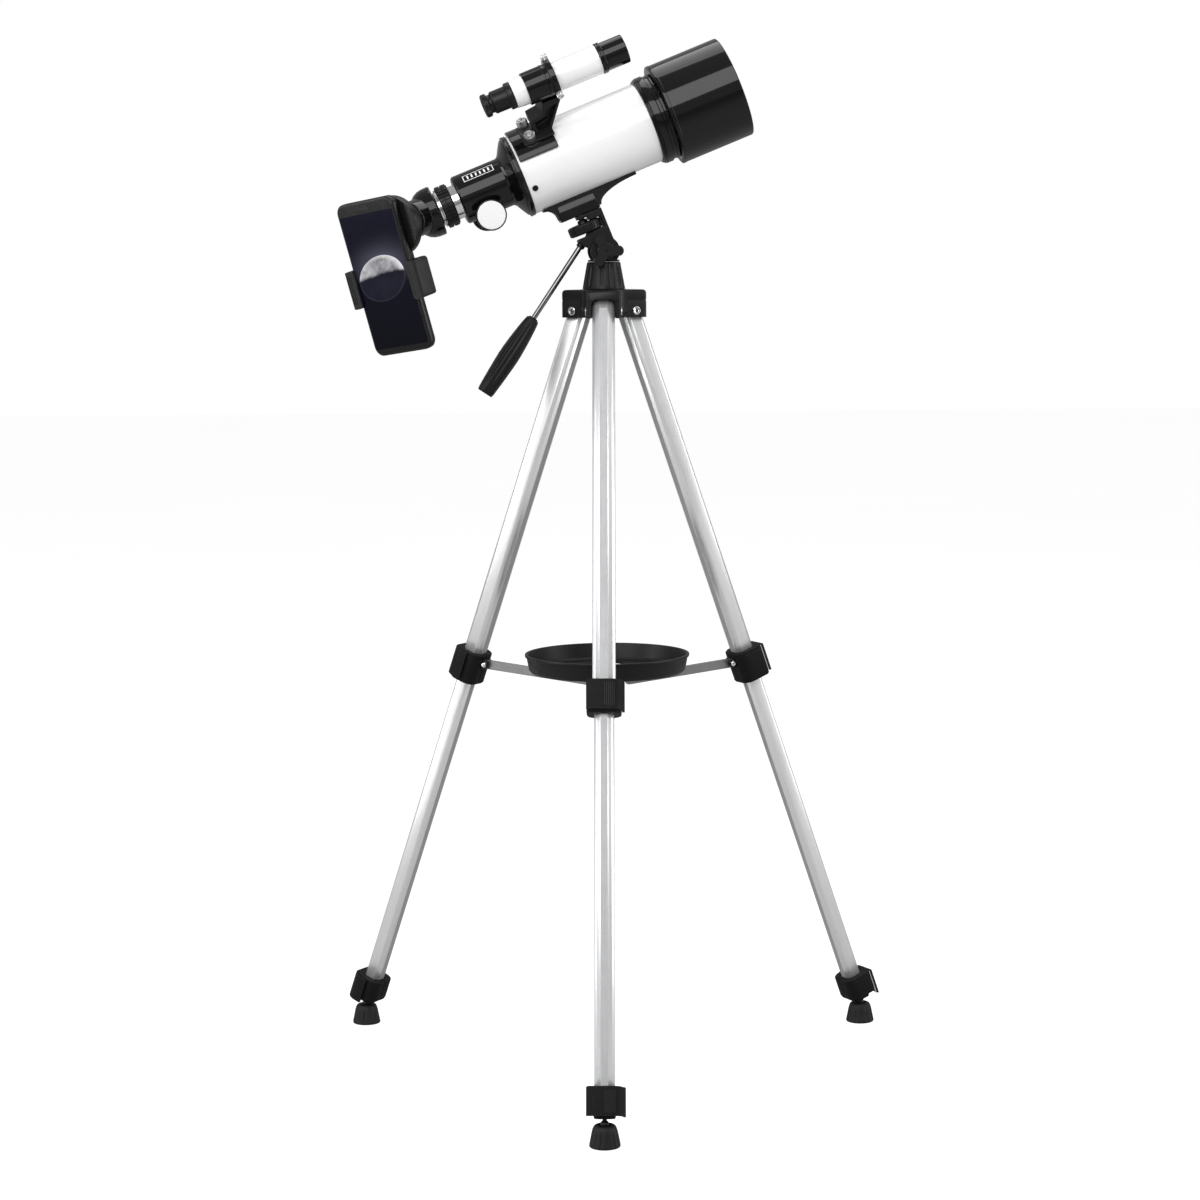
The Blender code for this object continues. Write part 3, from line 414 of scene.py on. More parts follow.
BLACK = (0.0062, 0.0062, 0.0066)
FINISHES = {        # finish: (material, the record's slot)
    "plastic": (finish("moulded_plastic", BLACK, 0.42, specular=0.22, grain=2600.0,
        depth=0.00003, strength=0.35, wear=0.3, worn=(0.035, 0.035, 0.036)), "black_plastic"),
    "satin": (finish("satin_plastic", (0.0075, 0.0075, 0.0078), 0.34, specular=0.26, grain=2200.0,
        wear=0.35, worn=(0.045, 0.045, 0.046)), "black_plastic"),
    "clip": (finish("clip_plastic", (0.0125, 0.0125, 0.0125), 0.46, specular=0.24, grain=2600.0,
        depth=0.00003, wear=0.4, worn=(0.07, 0.07, 0.07)), "black_plastic"),
    "gloss": (finish("gloss_lacquer", (0.0036, 0.0036, 0.004), 0.075, specular=0.32, coat=0.06,
        spread=0.02, grain=700.0, depth=0.000003, strength=0.1, wear=0.25,
        worn=(0.03, 0.03, 0.03)), "gloss_black"),
    "clamp": (finish("clamp_plastic", (0.0058, 0.0058, 0.006), 0.56, specular=0.12, grain=2400.0,
        depth=0.00003, strength=0.35, wear=0.65, worn=(0.075, 0.075, 0.076)), "black_plastic"),
    "rubber": (finish("foot_rubber", (0.0085, 0.0085, 0.0085), 0.58, specular=0.26, grain=1500.0,
        depth=0.00005, strength=0.45, wear=0.45, worn=(0.045, 0.045, 0.045)), "black_rubber"),
    "enamel": (finish("white_enamel", (0.86, 0.86, 0.865), 0.17, specular=0.5, coat=0.4, tone=0.01,
        spread=0.03, grain=520.0, depth=0.000002, strength=0.04), "white_enamel"),
    "paint": (finish("scale_paint", (0.8, 0.8, 0.8), 0.42, tone=0.03, grain=2600.0), "white_enamel"),
    "anodised": (finish("anodised_tube", (0.92, 0.922, 0.928), 0.3, 0.76, tone=0.012, spread=0.012,
        grain=1400.0, depth=0.000003, strength=0.05, stretch=(1, 1, 0.02)), "aluminium"),
    # band: painted shade, a darker grey standing for the darker reflection down the legs' flat faces, with
    # brushed streaks
    "band": (finish("painted_shade_metal", (0.4, 0.403, 0.412), 0.5, 0.4, specular=0.3, tone=0.03,
        spread=0.04, grain=1400.0, depth=0.00001, strength=0.2, stretch=(1, 1, 0.02)), "aluminium"),
    "spun": (finish("spun_aluminium", (0.72, 0.72, 0.73), 0.26, 1.0, tone=0.03, grain=1200.0,
        depth=0.00001, strength=0.2, wear=0.4, worn=(0.9, 0.9, 0.9)), "aluminium"),
    "steel": (finish("dark_steel", (0.55, 0.55, 0.56), 0.3, 1.0, tone=0.05, grain=1200.0,
        depth=0.00001, strength=0.2, wear=0.5, worn=(0.75, 0.75, 0.75)), "aluminium"),
    "strut": (finish("strut_steel", (0.24, 0.24, 0.245), 0.42, 0.85, tone=0.08, grain=1600.0,
        depth=0.00002, strength=0.3, stretch=(0.03, 1, 1), wear=0.5, worn=(0.5, 0.5, 0.5)),
        "strut_metal"),
    "chrome": (finish("bright_chrome", (0.8, 0.81, 0.82), 0.09, 1.0, tone=0.02, spread=0.03,
        grain=500.0, depth=0.000004, strength=0.1), "chrome"),
    # rod: chrome darkened as painted shade, standing for the dark reflection along the handle rod
    "rod": (finish("chrome_with_painted_shade", (0.2, 0.202, 0.207), 0.11, 1.0, tone=0.03, spread=0.03,
        grain=500.0, depth=0.000004, strength=0.1), "chrome"),
    "glass": (glass_finish(), "lens_glass"),
    "screen": (screen_finish(), "phone_glass"),
    "phone": (finish("phone_shell", (0.0055, 0.0055, 0.006), 0.34, specular=0.3, grain=2400.0,
        depth=0.00002, wear=0.5, worn=(0.07, 0.07, 0.07)), "phone_glass"),
    "phone_front": (finish("phone_front_glass", (0.0025, 0.0025, 0.003), 0.1, specular=0.22,
        spread=0.03, grain=600.0, depth=0.000003, strength=0.1), "phone_glass"),
}


def piece(name, mesh, where, finish_name, body, replaces=(), bevel=0.0, steps=2):
    """Adds a finished piece: placed, painted, riding its body, standing for its CAD nodes."""
    made = placed(name, mesh, where)
    mesh.name = name
    material, slot = FINISHES[finish_name]
    mesh.materials.clear()
    mesh.materials.append(material)
    if bevel:
        softened = made.modifiers.new("soft_edges", "BEVEL")
        softened.width = bevel
        softened.segments = steps
        softened.limit_method = "ANGLE"
        softened.angle_limit = math.radians(SHARP)
        softened.harden_normals = True
        mesh.shade_smooth()
    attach(made, body)
    if replaces:
        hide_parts(*replaces)
    return made


# ---------------------------------------------------------------- camera, floor, light
CAMERA_OFFSET = Vector((0.0588, -3.0731, 0.8336))       # from the tripod's foot
CAMERA_YAW, CAMERA_DROP, CAMERA_ROLL = 1.22, 6.68, -0.5
LENS, SENSOR = 92.2, 36.0


def make_camera():
    data = bpy.data.cameras.new("camera")
    data.lens, data.sensor_width = LENS, SENSOR
    data.clip_start, data.clip_end = 0.05, 60.0
    aim = turn(CAMERA_YAW, "Z") @ turn(90 - CAMERA_DROP, "X") @ turn(CAMERA_ROLL, "Z")
    camera = placed("camera", data, tripod @ Matrix.Translation(CAMERA_OFFSET) @ aim)
    bpy.context.scene.camera = camera


def softbox(name, place, aim, width, height, power, roll=0.0):
    data = bpy.data.lights.new(name, "AREA")
    data.shape, data.size, data.size_y, data.energy = "RECTANGLE", width, height, power
    away = (Vector(aim) - Vector(place)).to_track_quat("-Z", "Y").to_matrix().to_4x4()
    placed(name, data, Matrix.Translation(place) @ away @ turn(roll, "Z"))


def make_studio():
    floor_mesh = prism([(x * 12, y * 12) for x, y in round_box(2, 2, 0.6, 12)], -0.02, 0)
    floor = placed("studio_floor", floor_mesh)
    graph = Graph("studio_paper")
    tone = graph.mix(graph.span(graph.noise(1.2), 0.0, 1.0), (0.4, 0.4, 0.4, 1), (0.42, 0.42, 0.42, 1))
    graph.link(tone, "Base Color")
    graph.constants({"Roughness": 0.85, "Specular IOR Level": 0.2,
            "Emission Color": (1.0, 1.0, 1.0, 1.0)})
    seen = graph.node("ShaderNodeLightPath", output="Is Camera Ray")
    graph.link(graph.node("ShaderNodeMapRange", ((0, seen), (3, 0.0), (4, 0.8))), "Emission Strength")
    floor_mesh.materials.append(graph.material)
    world = bpy.data.worlds.new("studio")
    world.use_nodes = True
    nodes, links = world.node_tree.nodes, world.node_tree.links
    light_path = nodes.new("ShaderNodeLightPath")
    brightness = nodes.new("ShaderNodeMapRange")
    brightness.inputs[3].default_value, brightness.inputs[4].default_value = 0.4, 1.0
    links.new(light_path.outputs["Is Camera Ray"], brightness.inputs[0])
    links.new(brightness.outputs[0], nodes["Background"].inputs[1])
    nodes["Background"].inputs[0].default_value = (1.0, 1.0, 1.0, 1.0)
    bpy.context.scene.world = world
    softbox("key_box", (-0.44, -2.1, 1.98), (0, 0, 0.9), 3.2, 1.6, 56.0, 22.0)
    softbox("left_box", (-2.6, -0.6, 1.1), (0, 0, 0.6), 1.0, 2.6, 32.0)
    softbox("right_box", (2.7, -0.2, 1.2), (0, 0, 0.6), 1.0, 2.6, 34.0)
    softbox("top_box", (0.3, 0.6, 3.0), (0, 0, 0.4), 2.4, 1.6, 26.0)


# ---------------------------------------------------------------- main tube
TUBE_R, TUBE_REAR, TUBE_FRONT = 0.0405, -0.0487, 0.088
DEW_R, DEW_REAR, DEW_FRONT = 0.051, 0.106, 0.1815


def make_tube():
    wall = TUBE_R - 0.0016
    piece("tube_enamel", turned(((wall, TUBE_REAR), (TUBE_R, TUBE_REAR), (TUBE_R, TUBE_FRONT),
            (wall, TUBE_FRONT)), FINE, True, 0.0003), barrel_axis, "enamel", "tilt_head", ("main_tube",))
    cell = ((0.034, 0.082), (wall - GAP, 0.082), (wall - GAP, 0.0883), (0.0426, 0.0883),
            (0.0426, 0.0893), (0.042, 0.0894), (0.042, 0.0899), (0.0438, 0.09), (0.0438, 0.0909),
            (0.0432, 0.0911), (0.0432, 0.0916), (0.0445, 0.0919), (0.0445, 0.0984), (0.0432, 0.099),
            (0.0432, 0.102), (0.0428, 0.1021), (0.0428, 0.1026), (0.0437, 0.1028), (0.0437, 0.1048),
            (0.0432, 0.1057), (0.0362, 0.1057), (0.0362, 0.0905), (0.034, 0.0905))
    piece("front_cell_shell", turned(cell, FINE, True, 0.00025), barrel_axis, "gloss", "tilt_head",
          ("front_cell",))
    lens = [(0.001, 0.0914), (0.0356, 0.093), (0.0356, 0.0965)] + arc(0, 0.0965, 0.0356, 10, 80, 7,
            0.0037)
    piece("objective_glass", turned(lens, FINE, ease=0.0002), barrel_axis, "glass", "tilt_head",
          ("objective_lens",))
    shield = ((0.04, DEW_REAR), (0.0485, DEW_REAR), (0.0492, DEW_REAR + 0.0003),
              (DEW_R - 0.0004, DEW_REAR + 0.0007), (DEW_R, DEW_REAR + 0.0014),
              (DEW_R, DEW_REAR + 0.004), (DEW_R - 0.0003, DEW_REAR + 0.0042),
              (DEW_R - 0.0003, DEW_FRONT - 0.0006), (DEW_R - 0.0008, DEW_FRONT),
              (DEW_R - 0.0024, DEW_FRONT), (DEW_R - 0.0024, 0.1085), (0.04, 0.1085))
    piece("dew_shield_shell", turned(shield, FINE, True, 0.0003), barrel_axis, "gloss", "tilt_head",
          ("dew_shield",))
    screw = turned(((0.0004, 0.0), (0.003, 0.0), (0.003, 0.0009), (0.0022, 0.0013), (0.0013, 0.0013),
            (0.0011, 0.0005), (0.0002, 0.0005)), SMALL, ease=0.0003)
    for number, roll in enumerate((114, 234, 354)):
        where = optical @ turn(roll, "X") @ shift(-0.0425, 0, TUBE_R - 0.0002)
        piece(f"tube_screw_{number + 1}", screw.copy(), where, "plastic", "tilt_head")


# ---------------------------------------------------------------- focuser
HOUSING_R, HOUSING_REAR = 0.02445, -0.114
DRAWTUBE_R, DRAWTUBE_REAR = 0.017, -0.136
KNOB_R, KNOB_NEAR, KNOB_FAR = 0.01535, 0.0251, 0.033
COLLAR_LUGS, KNOB_RIBS = 34, 60
SCALE_START, SCALE_END, SCALE_RISE = -0.103, -0.072, 0.00012


def curved_strip(low_u, high_u, start, end, radius, rise):
    """A thin raised strip on a cylinder, from angle start to end down from the top toward the near side."""
    steps = max(2, int(abs(end - start) / 3) + 1)
    loops = []
    for u in (low_u, high_u):
        angles = [math.radians(start + (end - start) * k / steps) for k in range(steps + 1)]
        outside = [(u, -(radius + rise) * math.sin(a), (radius + rise) * math.cos(a)) for a in angles]
        angles.reverse()
        inside = [(u, -(radius - rise) * math.sin(a), (radius - rise) * math.cos(a)) for a in angles]
        loops.append(outside + inside)
    return mesh_from(loops)


def make_focuser():
    bore = DRAWTUBE_R + 0.0004
    rear = TUBE_REAR
    profile = ((bore, HOUSING_REAR), (0.0196, HOUSING_REAR), (0.0202, HOUSING_REAR + 0.0006),
               (0.0212, HOUSING_REAR), (HOUSING_R - 0.0018, HOUSING_REAR),
               (HOUSING_R, HOUSING_REAR + 0.0018), (HOUSING_R, -0.0652), (HOUSING_R + 0.0009, -0.064),
               (0.0262, -0.0628), (0.033, -0.059), (0.038, -0.056), (0.0394, -0.0548), (0.0394, -0.054),
               (0.0413, -0.0534), (0.0415, rear - 0.0046), (0.0415, rear - 0.0024),
               (0.0411, rear - 0.0022), (0.0411, rear - 0.0016), (0.0415, rear - 0.0014),
               (0.0415, rear - GAP), (0.0385, rear - GAP), (0.0385, rear + 0.007),
               (0.0365, rear + 0.007), (0.0365, -0.052), (0.024, -0.059), (bore, -0.06))
    piece("focuser_shell", turned(profile, FINE, True, 0.0005), barrel_axis, "gloss", "tilt_head",
          ("focuser_housing",))


def make_pinion_cover():
    place = optical.inverted() @ pivot("focus_knobs")
    pinion_u, pinion_v = place.x, place.z
    cover = prism([(x + pinion_u, z + pinion_v) for x, z in round_box(0.023, 0.021, 0.004)],
                  -0.0155, 0.0155, "Y")
    cover = cut(cover, rod_mesh(HOUSING_R - 0.0002, 0.08, ROUND), shift(pinion_u) @ ROLL_TO_X)
    piece("pinion_cover_shell", cover, optical, "satin", "tilt_head", ("pinion_cover",), 0.0008, 3)
    for side in (-1, 1):
        boss = turned(((0.0002, 0.014), (0.0064, 0.014), (0.0064, 0.0156), (0.0052, 0.0168),
                (0.0002, 0.0168)), SMALL)
        where = pinion if side > 0 else pinion @ turn(180, "X")
        piece(f"pinion_bearing_{'near' if side > 0 else 'far'}", boss, where, "satin", "tilt_head")


def make_drawtube():
    tube = ((DRAWTUBE_R - 0.0014, DRAWTUBE_REAR), (DRAWTUBE_R, DRAWTUBE_REAR), (DRAWTUBE_R, -0.042),
            (DRAWTUBE_R - 0.0014, -0.042))
    piece("drawtube_barrel", turned(tube, ROUND, True, 0.0003), barrel_axis, "chrome", "drawtube",
          ("drawtube",))

    ring_in = DRAWTUBE_R + GAP
    collar = ((ring_in, -0.133), (0.0188, -0.133), (0.0196, -0.1326), (0.0212, -0.1322),
              (0.0213, -0.128), (0.02, -0.1277), (0.02, -0.1268), (0.0213, -0.1265), (0.0213, -0.1218),
              (0.0199, -0.1212), (0.0197, -0.1205), (ring_in, -0.1205))
    mesh = turned(collar, COLLAR_LUGS * 10, True, 0.00015, toothed(COLLAR_LUGS, 0.0011, 0.0205, 0.55), 30)
    piece("drawtube_collar", mesh, barrel_axis, "satin", "drawtube", ("drawtube_ring",))
    band = turned(((ring_in, -0.1345), (0.0188, -0.1345), (0.019, -0.1341), (0.0188, -0.1336),
            (ring_in, -0.1336)), ROUND, True, 0.0001)
    piece("drawtube_band", band, barrel_axis, "chrome", "drawtube")


def make_focus_scale():
    """Plain bars in a frame, where the real one carries lettering."""
    def mark(low, high, start, end):
        return curved_strip(low, high, start, end, HOUSING_R, SCALE_RISE)

    marks = [mark(SCALE_START, SCALE_END, edge, edge + 1.5) for edge in (31.5, 50.5)]
    marks += [mark(u - 0.0004, u + 0.0004, 31.5, 52.0) for u in (SCALE_START, SCALE_END)]
    ticks = [SCALE_START + 0.0045 + tick * 0.0044 for tick in range(6)]
    marks += [mark(u - 0.0008, u + 0.0008, 36.5, 47.0) for u in ticks]
    piece("focus_scale", gathered([(strip, Matrix()) for strip in marks]), optical, "paint", "tilt_head")


def make_focus_knobs():
    for side, where in (("near", pinion), ("far", pinion @ turn(180, "X"))):
        knob = ((0.0023, 0.0172), (0.005, 0.0172), (0.0052, 0.021), (0.007, KNOB_NEAR),
                (KNOB_R - 0.001, KNOB_NEAR), (KNOB_R, KNOB_NEAR + 0.001), (KNOB_R, KNOB_FAR - 0.0008),
                (KNOB_R - 0.0007, KNOB_FAR), (KNOB_R - 0.0013, KNOB_FAR),
                (KNOB_R - 0.0014, KNOB_FAR - 0.0006), (0.0023, KNOB_FAR - 0.0006))
        rim = turned(knob, KNOB_RIBS * 6, True, 0.0003, knurled(KNOB_RIBS, 0.0003, KNOB_R - 0.0007))
        piece("focus_knob_rim_" + side, rim, where, "satin", "focus_shaft", ("focus_knob_" + side,))
        face_r = KNOB_R - 0.00145
        face = [(0.0002, KNOB_FAR - 0.0012), (face_r, KNOB_FAR - 0.0012), (face_r, KNOB_FAR - 0.0003)]
        face += [(face_r * k, KNOB_FAR - 0.0003 * k ** 6) for k in (0.97, 0.9, 0.8, 0.5, 0.2, 0.02)]
        piece("focus_knob_face_" + side, turned(face, ROUND, ease=0.0002), where, "enamel", "focus_shaft")


# ---------------------------------------------------------------- finder
FINDER_R = 0.0144


def make_finder():
    wall = FINDER_R - 0.0013
    place = finder @ ROLL_TO_X
    tube = ((wall, -0.0295), (FINDER_R - 0.0008, -0.0295), (FINDER_R, -0.022), (FINDER_R, 0.0607),
            (wall, 0.0607))
    piece("finder_enamel", turned(tube, FINE, True, 0.0003), place, "enamel", "tilt_head",
          ("finder_tube",))
    hood = ((0.0112, 0.0525), (wall - GAP, 0.0525), (wall - GAP, 0.061), (0.0154, 0.061),
            (0.0154, 0.0625), (0.0149, 0.0627), (0.0149, 0.0633), (0.0154, 0.0635), (0.0154, 0.0653),
            (0.0142, 0.0659), (0.0142, 0.0881), (0.0139, 0.0888), (0.0131, 0.0888), (0.013, 0.0625),
            (0.0112, 0.0625))
    piece("finder_hood_shell", turned(hood, FINE, True, 0.0002), place, "gloss", "tilt_head",
          ("finder_hood",))
    lens = [(0.0004, 0.0545), (0.0111, 0.0545), (0.0111, 0.0565)] + arc(0, 0.0565, 0.0111, 15, 75,
            4, 0.0016)
    piece("finder_glass", turned(lens, ROUND, ease=0.0002), place, "glass", "tilt_head")
    sight = ((0.006, -0.06), (0.0066, -0.0605), (0.0104, -0.0605), (0.0115, -0.0594), (0.0115, -0.0556),
             (0.0105, -0.0547), (0.0092, -0.0543), (0.009, -0.053), (0.0092, -0.0517),
             (0.0104, -0.0508), (0.0111, -0.05), (0.0111, -0.0356), (0.0124, -0.0353),
             (0.0133, -0.0346), (0.0133, -0.0302), (0.0128, -0.0298), (0.0122, -0.0298),
             (0.0122, -0.01), (0.0108, -0.01), (0.008, -0.048))
    ribbed = toothed(36, 0.0004, 0.0114, 0.2, -0.055)
    piece("finder_sight", turned(sight, 36 * 6, True, 0.0003, ribbed), place, "satin",
          "finder_focus_tube", ("finder_eyepiece",))
    glass = turned(((0.0003, -0.0592), (0.0062, -0.0596), (0.0062, -0.058), (0.0003, -0.057)), SMALL,
            ease=0.0002)
    piece("finder_sight_glass", glass, place, "glass", "finder_focus_tube")


def make_finder_bracket():
    inner = FINDER_R + GAP
    bracket = turned(((inner, -0.0165), (0.0158, -0.0165), (0.0162, -0.0161), (0.0162, 0.0035),
            (0.0166, 0.0037), (0.0166, 0.005), (0.0162, 0.0052), (0.0162, 0.0085), (0.0198, 0.0085),
            (0.0206, 0.0092), (0.0206, 0.0138), (0.0199, 0.0145), (inner, 0.0145)), FINE, True, 0.0002)
    piece("finder_ring", bracket, finder @ ROLL_TO_X, "gloss", "tilt_head", ("finder_bracket",))

    arm = [(0.014, FINDER_AXIS - 0.0158), (-0.006, FINDER_AXIS - 0.0158), (-0.011, 0.063),
           (-0.0225, 0.0615), (-0.0225, 0.052), (-0.02, 0.0418), (-0.0065, 0.0418)]
    solid = prism(eased(arm, 0.0012, closed=True), -0.01, 0.01, "Y")
    recess = [(0.0075, FINDER_AXIS - 0.0215), (-0.004, FINDER_AXIS - 0.024), (-0.0085, 0.06),
              (-0.0195, 0.0585), (-0.019, 0.051), (-0.018, 0.0462), (-0.0068, 0.0462)]
    for side in (-1, 1):
        hollow = prism(eased(recess, 0.0008, closed=True), side * 0.0042, side * 0.013, "Y")
        solid = cut(solid, hollow)
    piece("finder_arm", solid, toward_finder, "satin", "tilt_head", (), 0.0006)
    ribs = [(box_mesh(0.0013, 0.012, 0.019), shift(-0.004, 0, 0.056) @ turn(-17, "Y")),
            (box_mesh(0.014, 0.012, 0.0013), shift(-0.011, 0, 0.053) @ turn(-12, "Y"))]
    piece("finder_arm_ribs", gathered(ribs), toward_finder, "satin", "tilt_head", (), 0.0003)


def make_finder_shoe():
    low = TUBE_R + GAP
    outside = arc(0, 0, low + 0.0034, 51.5, 128.5, 30)
    inside = arc(0, 0, low, 128.5, 51.5, 30)
    piece("finder_shoe", prism(outside + inside, -0.047, -0.006, "X"), toward_finder, "gloss",
          "tilt_head", (), 0.0009, 3)
    raised = arc(0, 0, low + 0.0048, 68, 112, 20) + arc(0, 0, low + 0.003, 112, 68, 20)
    piece("finder_shoe_pad", prism(raised, -0.036, -0.0045, "X"), toward_finder, "satin", "tilt_head",
          (), 0.0006)

    nut = ((0.0004, 0.0), (0.005, 0.0), (0.0057, 0.0008), (0.0057, 0.0072), (0.005, 0.008),
           (0.003, 0.008), (0.0028, 0.0076), (0.0019, 0.0076), (0.0018, 0.0094), (0.0014, 0.0098),
           (0.0003, 0.0098))
    for number, lean in enumerate((20.0, 50.0)):
        where = optical @ turn(lean, "X") @ shift(-0.0285, 0, low + 0.0044)
        mesh = turned(nut, 28 * 4, False, 0.0003, knurled(28, 0.00055, 0.005))
        piece(f"bracket_nut_{number + 1}", mesh, where, "steel", "tilt_head")
        washer = turned(((0.0026, 0.0), (0.0066, 0.0), (0.0066, 0.0014), (0.0026, 0.0014)), SMALL,
                True, 0.0003)
        piece(f"bracket_washer_{number + 1}", washer, where @ shift(z=-0.001), "satin", "tilt_head")


def make_finder_screws():
    screw = ((0.0003, 0.0), (0.0014, 0.0), (0.0014, 0.0056), (0.003, 0.0057), (0.0037, 0.0063),
             (0.0037, 0.01), (0.0031, 0.0106), (0.0018, 0.0107), (0.0014, 0.0102), (0.0003, 0.0102))
    for number, lean in enumerate((-14.0, 106.0, 226.0)):
        where = finder @ turn(lean, "X") @ shift(0.0115, 0, FINDER_R + GAP)
        mesh = turned(screw, 24 * 4, False, 0.0002, knurled(24, 0.0004, 0.0031))
        piece(f"finder_screw_{number + 1}", mesh, where, "spun", "tilt_head")


# ---------------------------------------------------------------- diagonal, eyepiece and phone
PHONE_W, PHONE_H, PHONE_T, PHONE_CORNER = 0.075, 0.154, 0.009, 0.01
PHONE_BACK, PHONE_EDGE = 0.0555, 0.0016
PHONE_X, PHONE_Y = -0.022, -0.0455       # the phone's middle from the eyepiece's axis
JAW_Y, JAW_HALF = -0.0075, 0.019


def make_diagonal():
    mirror = axes(pivot("eyepiece_turn"), x=along("diagonal_turn"), z=optical.to_3x3().col[2])
    start = DRAWTUBE_REAR - 0.0012 - (optical.inverted() @ pivot("eyepiece_turn")).x
    nose = DRAWTUBE_R - 0.0014 - GAP
    cup = [(0.0004, -0.0154), (0.005, -0.0152), (0.01, -0.0145), (0.015, -0.0128), (0.019, -0.0104),
           (0.022, -0.007), (0.0239, -0.003), (0.0248, 0.0015), (0.025, start - 0.0012),
           (0.0244, start), (0.021, start), (nose, start), (nose, start + 0.02),
           (nose - 0.0015, start + 0.02), (nose - 0.0015, start + 0.001), (0.0004, start + 0.001)]
    body = turned(cup, ROUND, ease=0.0008)
    body.transform(ROLL_TO_X)
    outlet = turned(((0.0004, 0.001), (0.0168, 0.001), (0.0182, 0.004), (0.0182, 0.029), (0.0176, 0.03),
            (0.0004, 0.03)), ROUND, ease=0.0004)
    to_eye = mirror.inverted() @ eye
    body = combine(body, outlet, to_eye)
    body = cut(body, turned(((0.0161, 0.018), (0.0161, 0.04)), ROUND), to_eye)
    piece("diagonal_shell", body, mirror, "gloss", "diagonal", ("diagonal_body",), 0.0007, 3)


def make_eyepiece():
    barrel = ((0.0004, 0.018), (0.0158, 0.018), (0.0158, 0.0303), (0.017, 0.0306), (0.0172, 0.0318),
              (0.0172, 0.041), (0.0163, 0.0428), (0.015, 0.044), (0.011, 0.0446), (0.01, 0.0436),
              (0.0004, 0.0436))
    piece("eyepiece_barrel", turned(barrel, 48 * 6, wave=knurled(48, 0.0003, 0.0169, 0.031)), eye,
          "satin", "eyepiece_head", ("eyepiece",))


def make_adapter_rings():
    back = PHONE_BACK - GAP
    rings = ((0.0177, 0.035), (0.0194, 0.035), (0.0199, 0.0356), (0.02, 0.0386), (0.0229, 0.0392),
             (0.0233, 0.04), (0.0233, 0.0416), (0.024, 0.042), (0.026, 0.0424), (0.0264, 0.0432),
             (0.0264, 0.0458), (0.027, 0.0462), (0.029, 0.0466), (0.0296, 0.0474),
             (0.0298, back - 0.0004), (0.0294, back), (0.0125, back), (0.0125, 0.0475), (0.0177, 0.0455))
    piece("adapter_rings", turned(rings, FINE, True, 0.0005), eye, "satin", "eyepiece_head")


def make_clip():
    """The adapter's fixed jaw and arm, and the sprung jaw that slides under them."""
    back, half = PHONE_BACK - GAP, PHONE_W / 2
    low_y, high_y = JAW_Y - JAW_HALF + PHONE_Y, JAW_Y + JAW_HALF + PHONE_Y
    front = PHONE_BACK + PHONE_T + GAP

    def clip_outline(side, rear):
        edge = PHONE_X + side * half
        return [(edge + side * GAP, rear), (edge + side * 0.01, rear),
                (edge + side * 0.01, front + 0.001), (edge + side * 0.008, front + 0.003),
                (edge - side * 0.003, front + 0.003), (edge - side * 0.003, front),
                (edge + side * GAP, front)]

    def lip(side, rear):
        """The part of a jaw round the phone's edge, its corners rounded as seen from the front."""
        shape = prism(eased(clip_outline(side, rear), 0.0009, closed=True), low_y, high_y, "Y")
        mask = prism(round_box(0.0131, 2 * JAW_HALF + 0.0001, 0.0044), rear - 0.002, front + 0.006)
        return combine(shape, mask, shift(PHONE_X + side * (half + 0.0035), JAW_Y + PHONE_Y), "INTERSECT")

    bar_start, bar_end = PHONE_X - half + 0.001, PHONE_X + half + 0.006
    bar = prism([(bar_start, low_y), (bar_end, low_y), (bar_end, high_y), (bar_start, high_y)],
                back - 0.0046, back - 0.0003)
    arm = prism([(-0.012, -0.016), (0.012, -0.016), (0.012, low_y), (-0.012, low_y)], back - 0.005,
                back - 0.0001)
    fixed = cut(lip(1, 0.047), box_mesh(0.0005, 0.03, 0.001),
                shift(PHONE_X + half + 0.0006, (low_y + high_y) / 2, front + 0.003))
    clip = combine(combine(fixed, bar), arm)
    piece("adapter_clip", clip, eye, "clip", "eyepiece_head", ("phone_adapter",), 0.0009, 3)
    edge = PHONE_X - half
    tongue = back - 0.005 - GAP
    slide = [(edge - 0.006, 0.0442), (PHONE_X - 0.01, 0.0442), (PHONE_X - 0.01, tongue),
             (edge - 0.006, tongue)]
    slide = prism(slide, low_y + 0.001, high_y - 0.001, "Y")
    jaw_mesh = combine(lip(-1, 0.044), slide)
    for offset in (0.002, 0.0042, 0.0064):
        jaw_mesh = cut(jaw_mesh, box_mesh(0.0008, 0.029, 0.0012),
                shift(edge - offset, (low_y + high_y) / 2, front + 0.003))
    piece("clip_jaw", jaw_mesh, eye, "clip", "phone_clip", ("phone_jaw",), 0.0006)
    pad_in = [(edge - GAP - 0.0001, PHONE_BACK + 0.0006), (edge - 0.0018, PHONE_BACK + 0.0006),
              (edge - 0.0018, front - 0.0006), (edge - GAP - 0.0001, front - 0.0006)]
    piece("clip_pad", prism(pad_in, low_y + 0.0015, high_y - 0.0015, "Y"), eye, "rubber", "phone_clip")


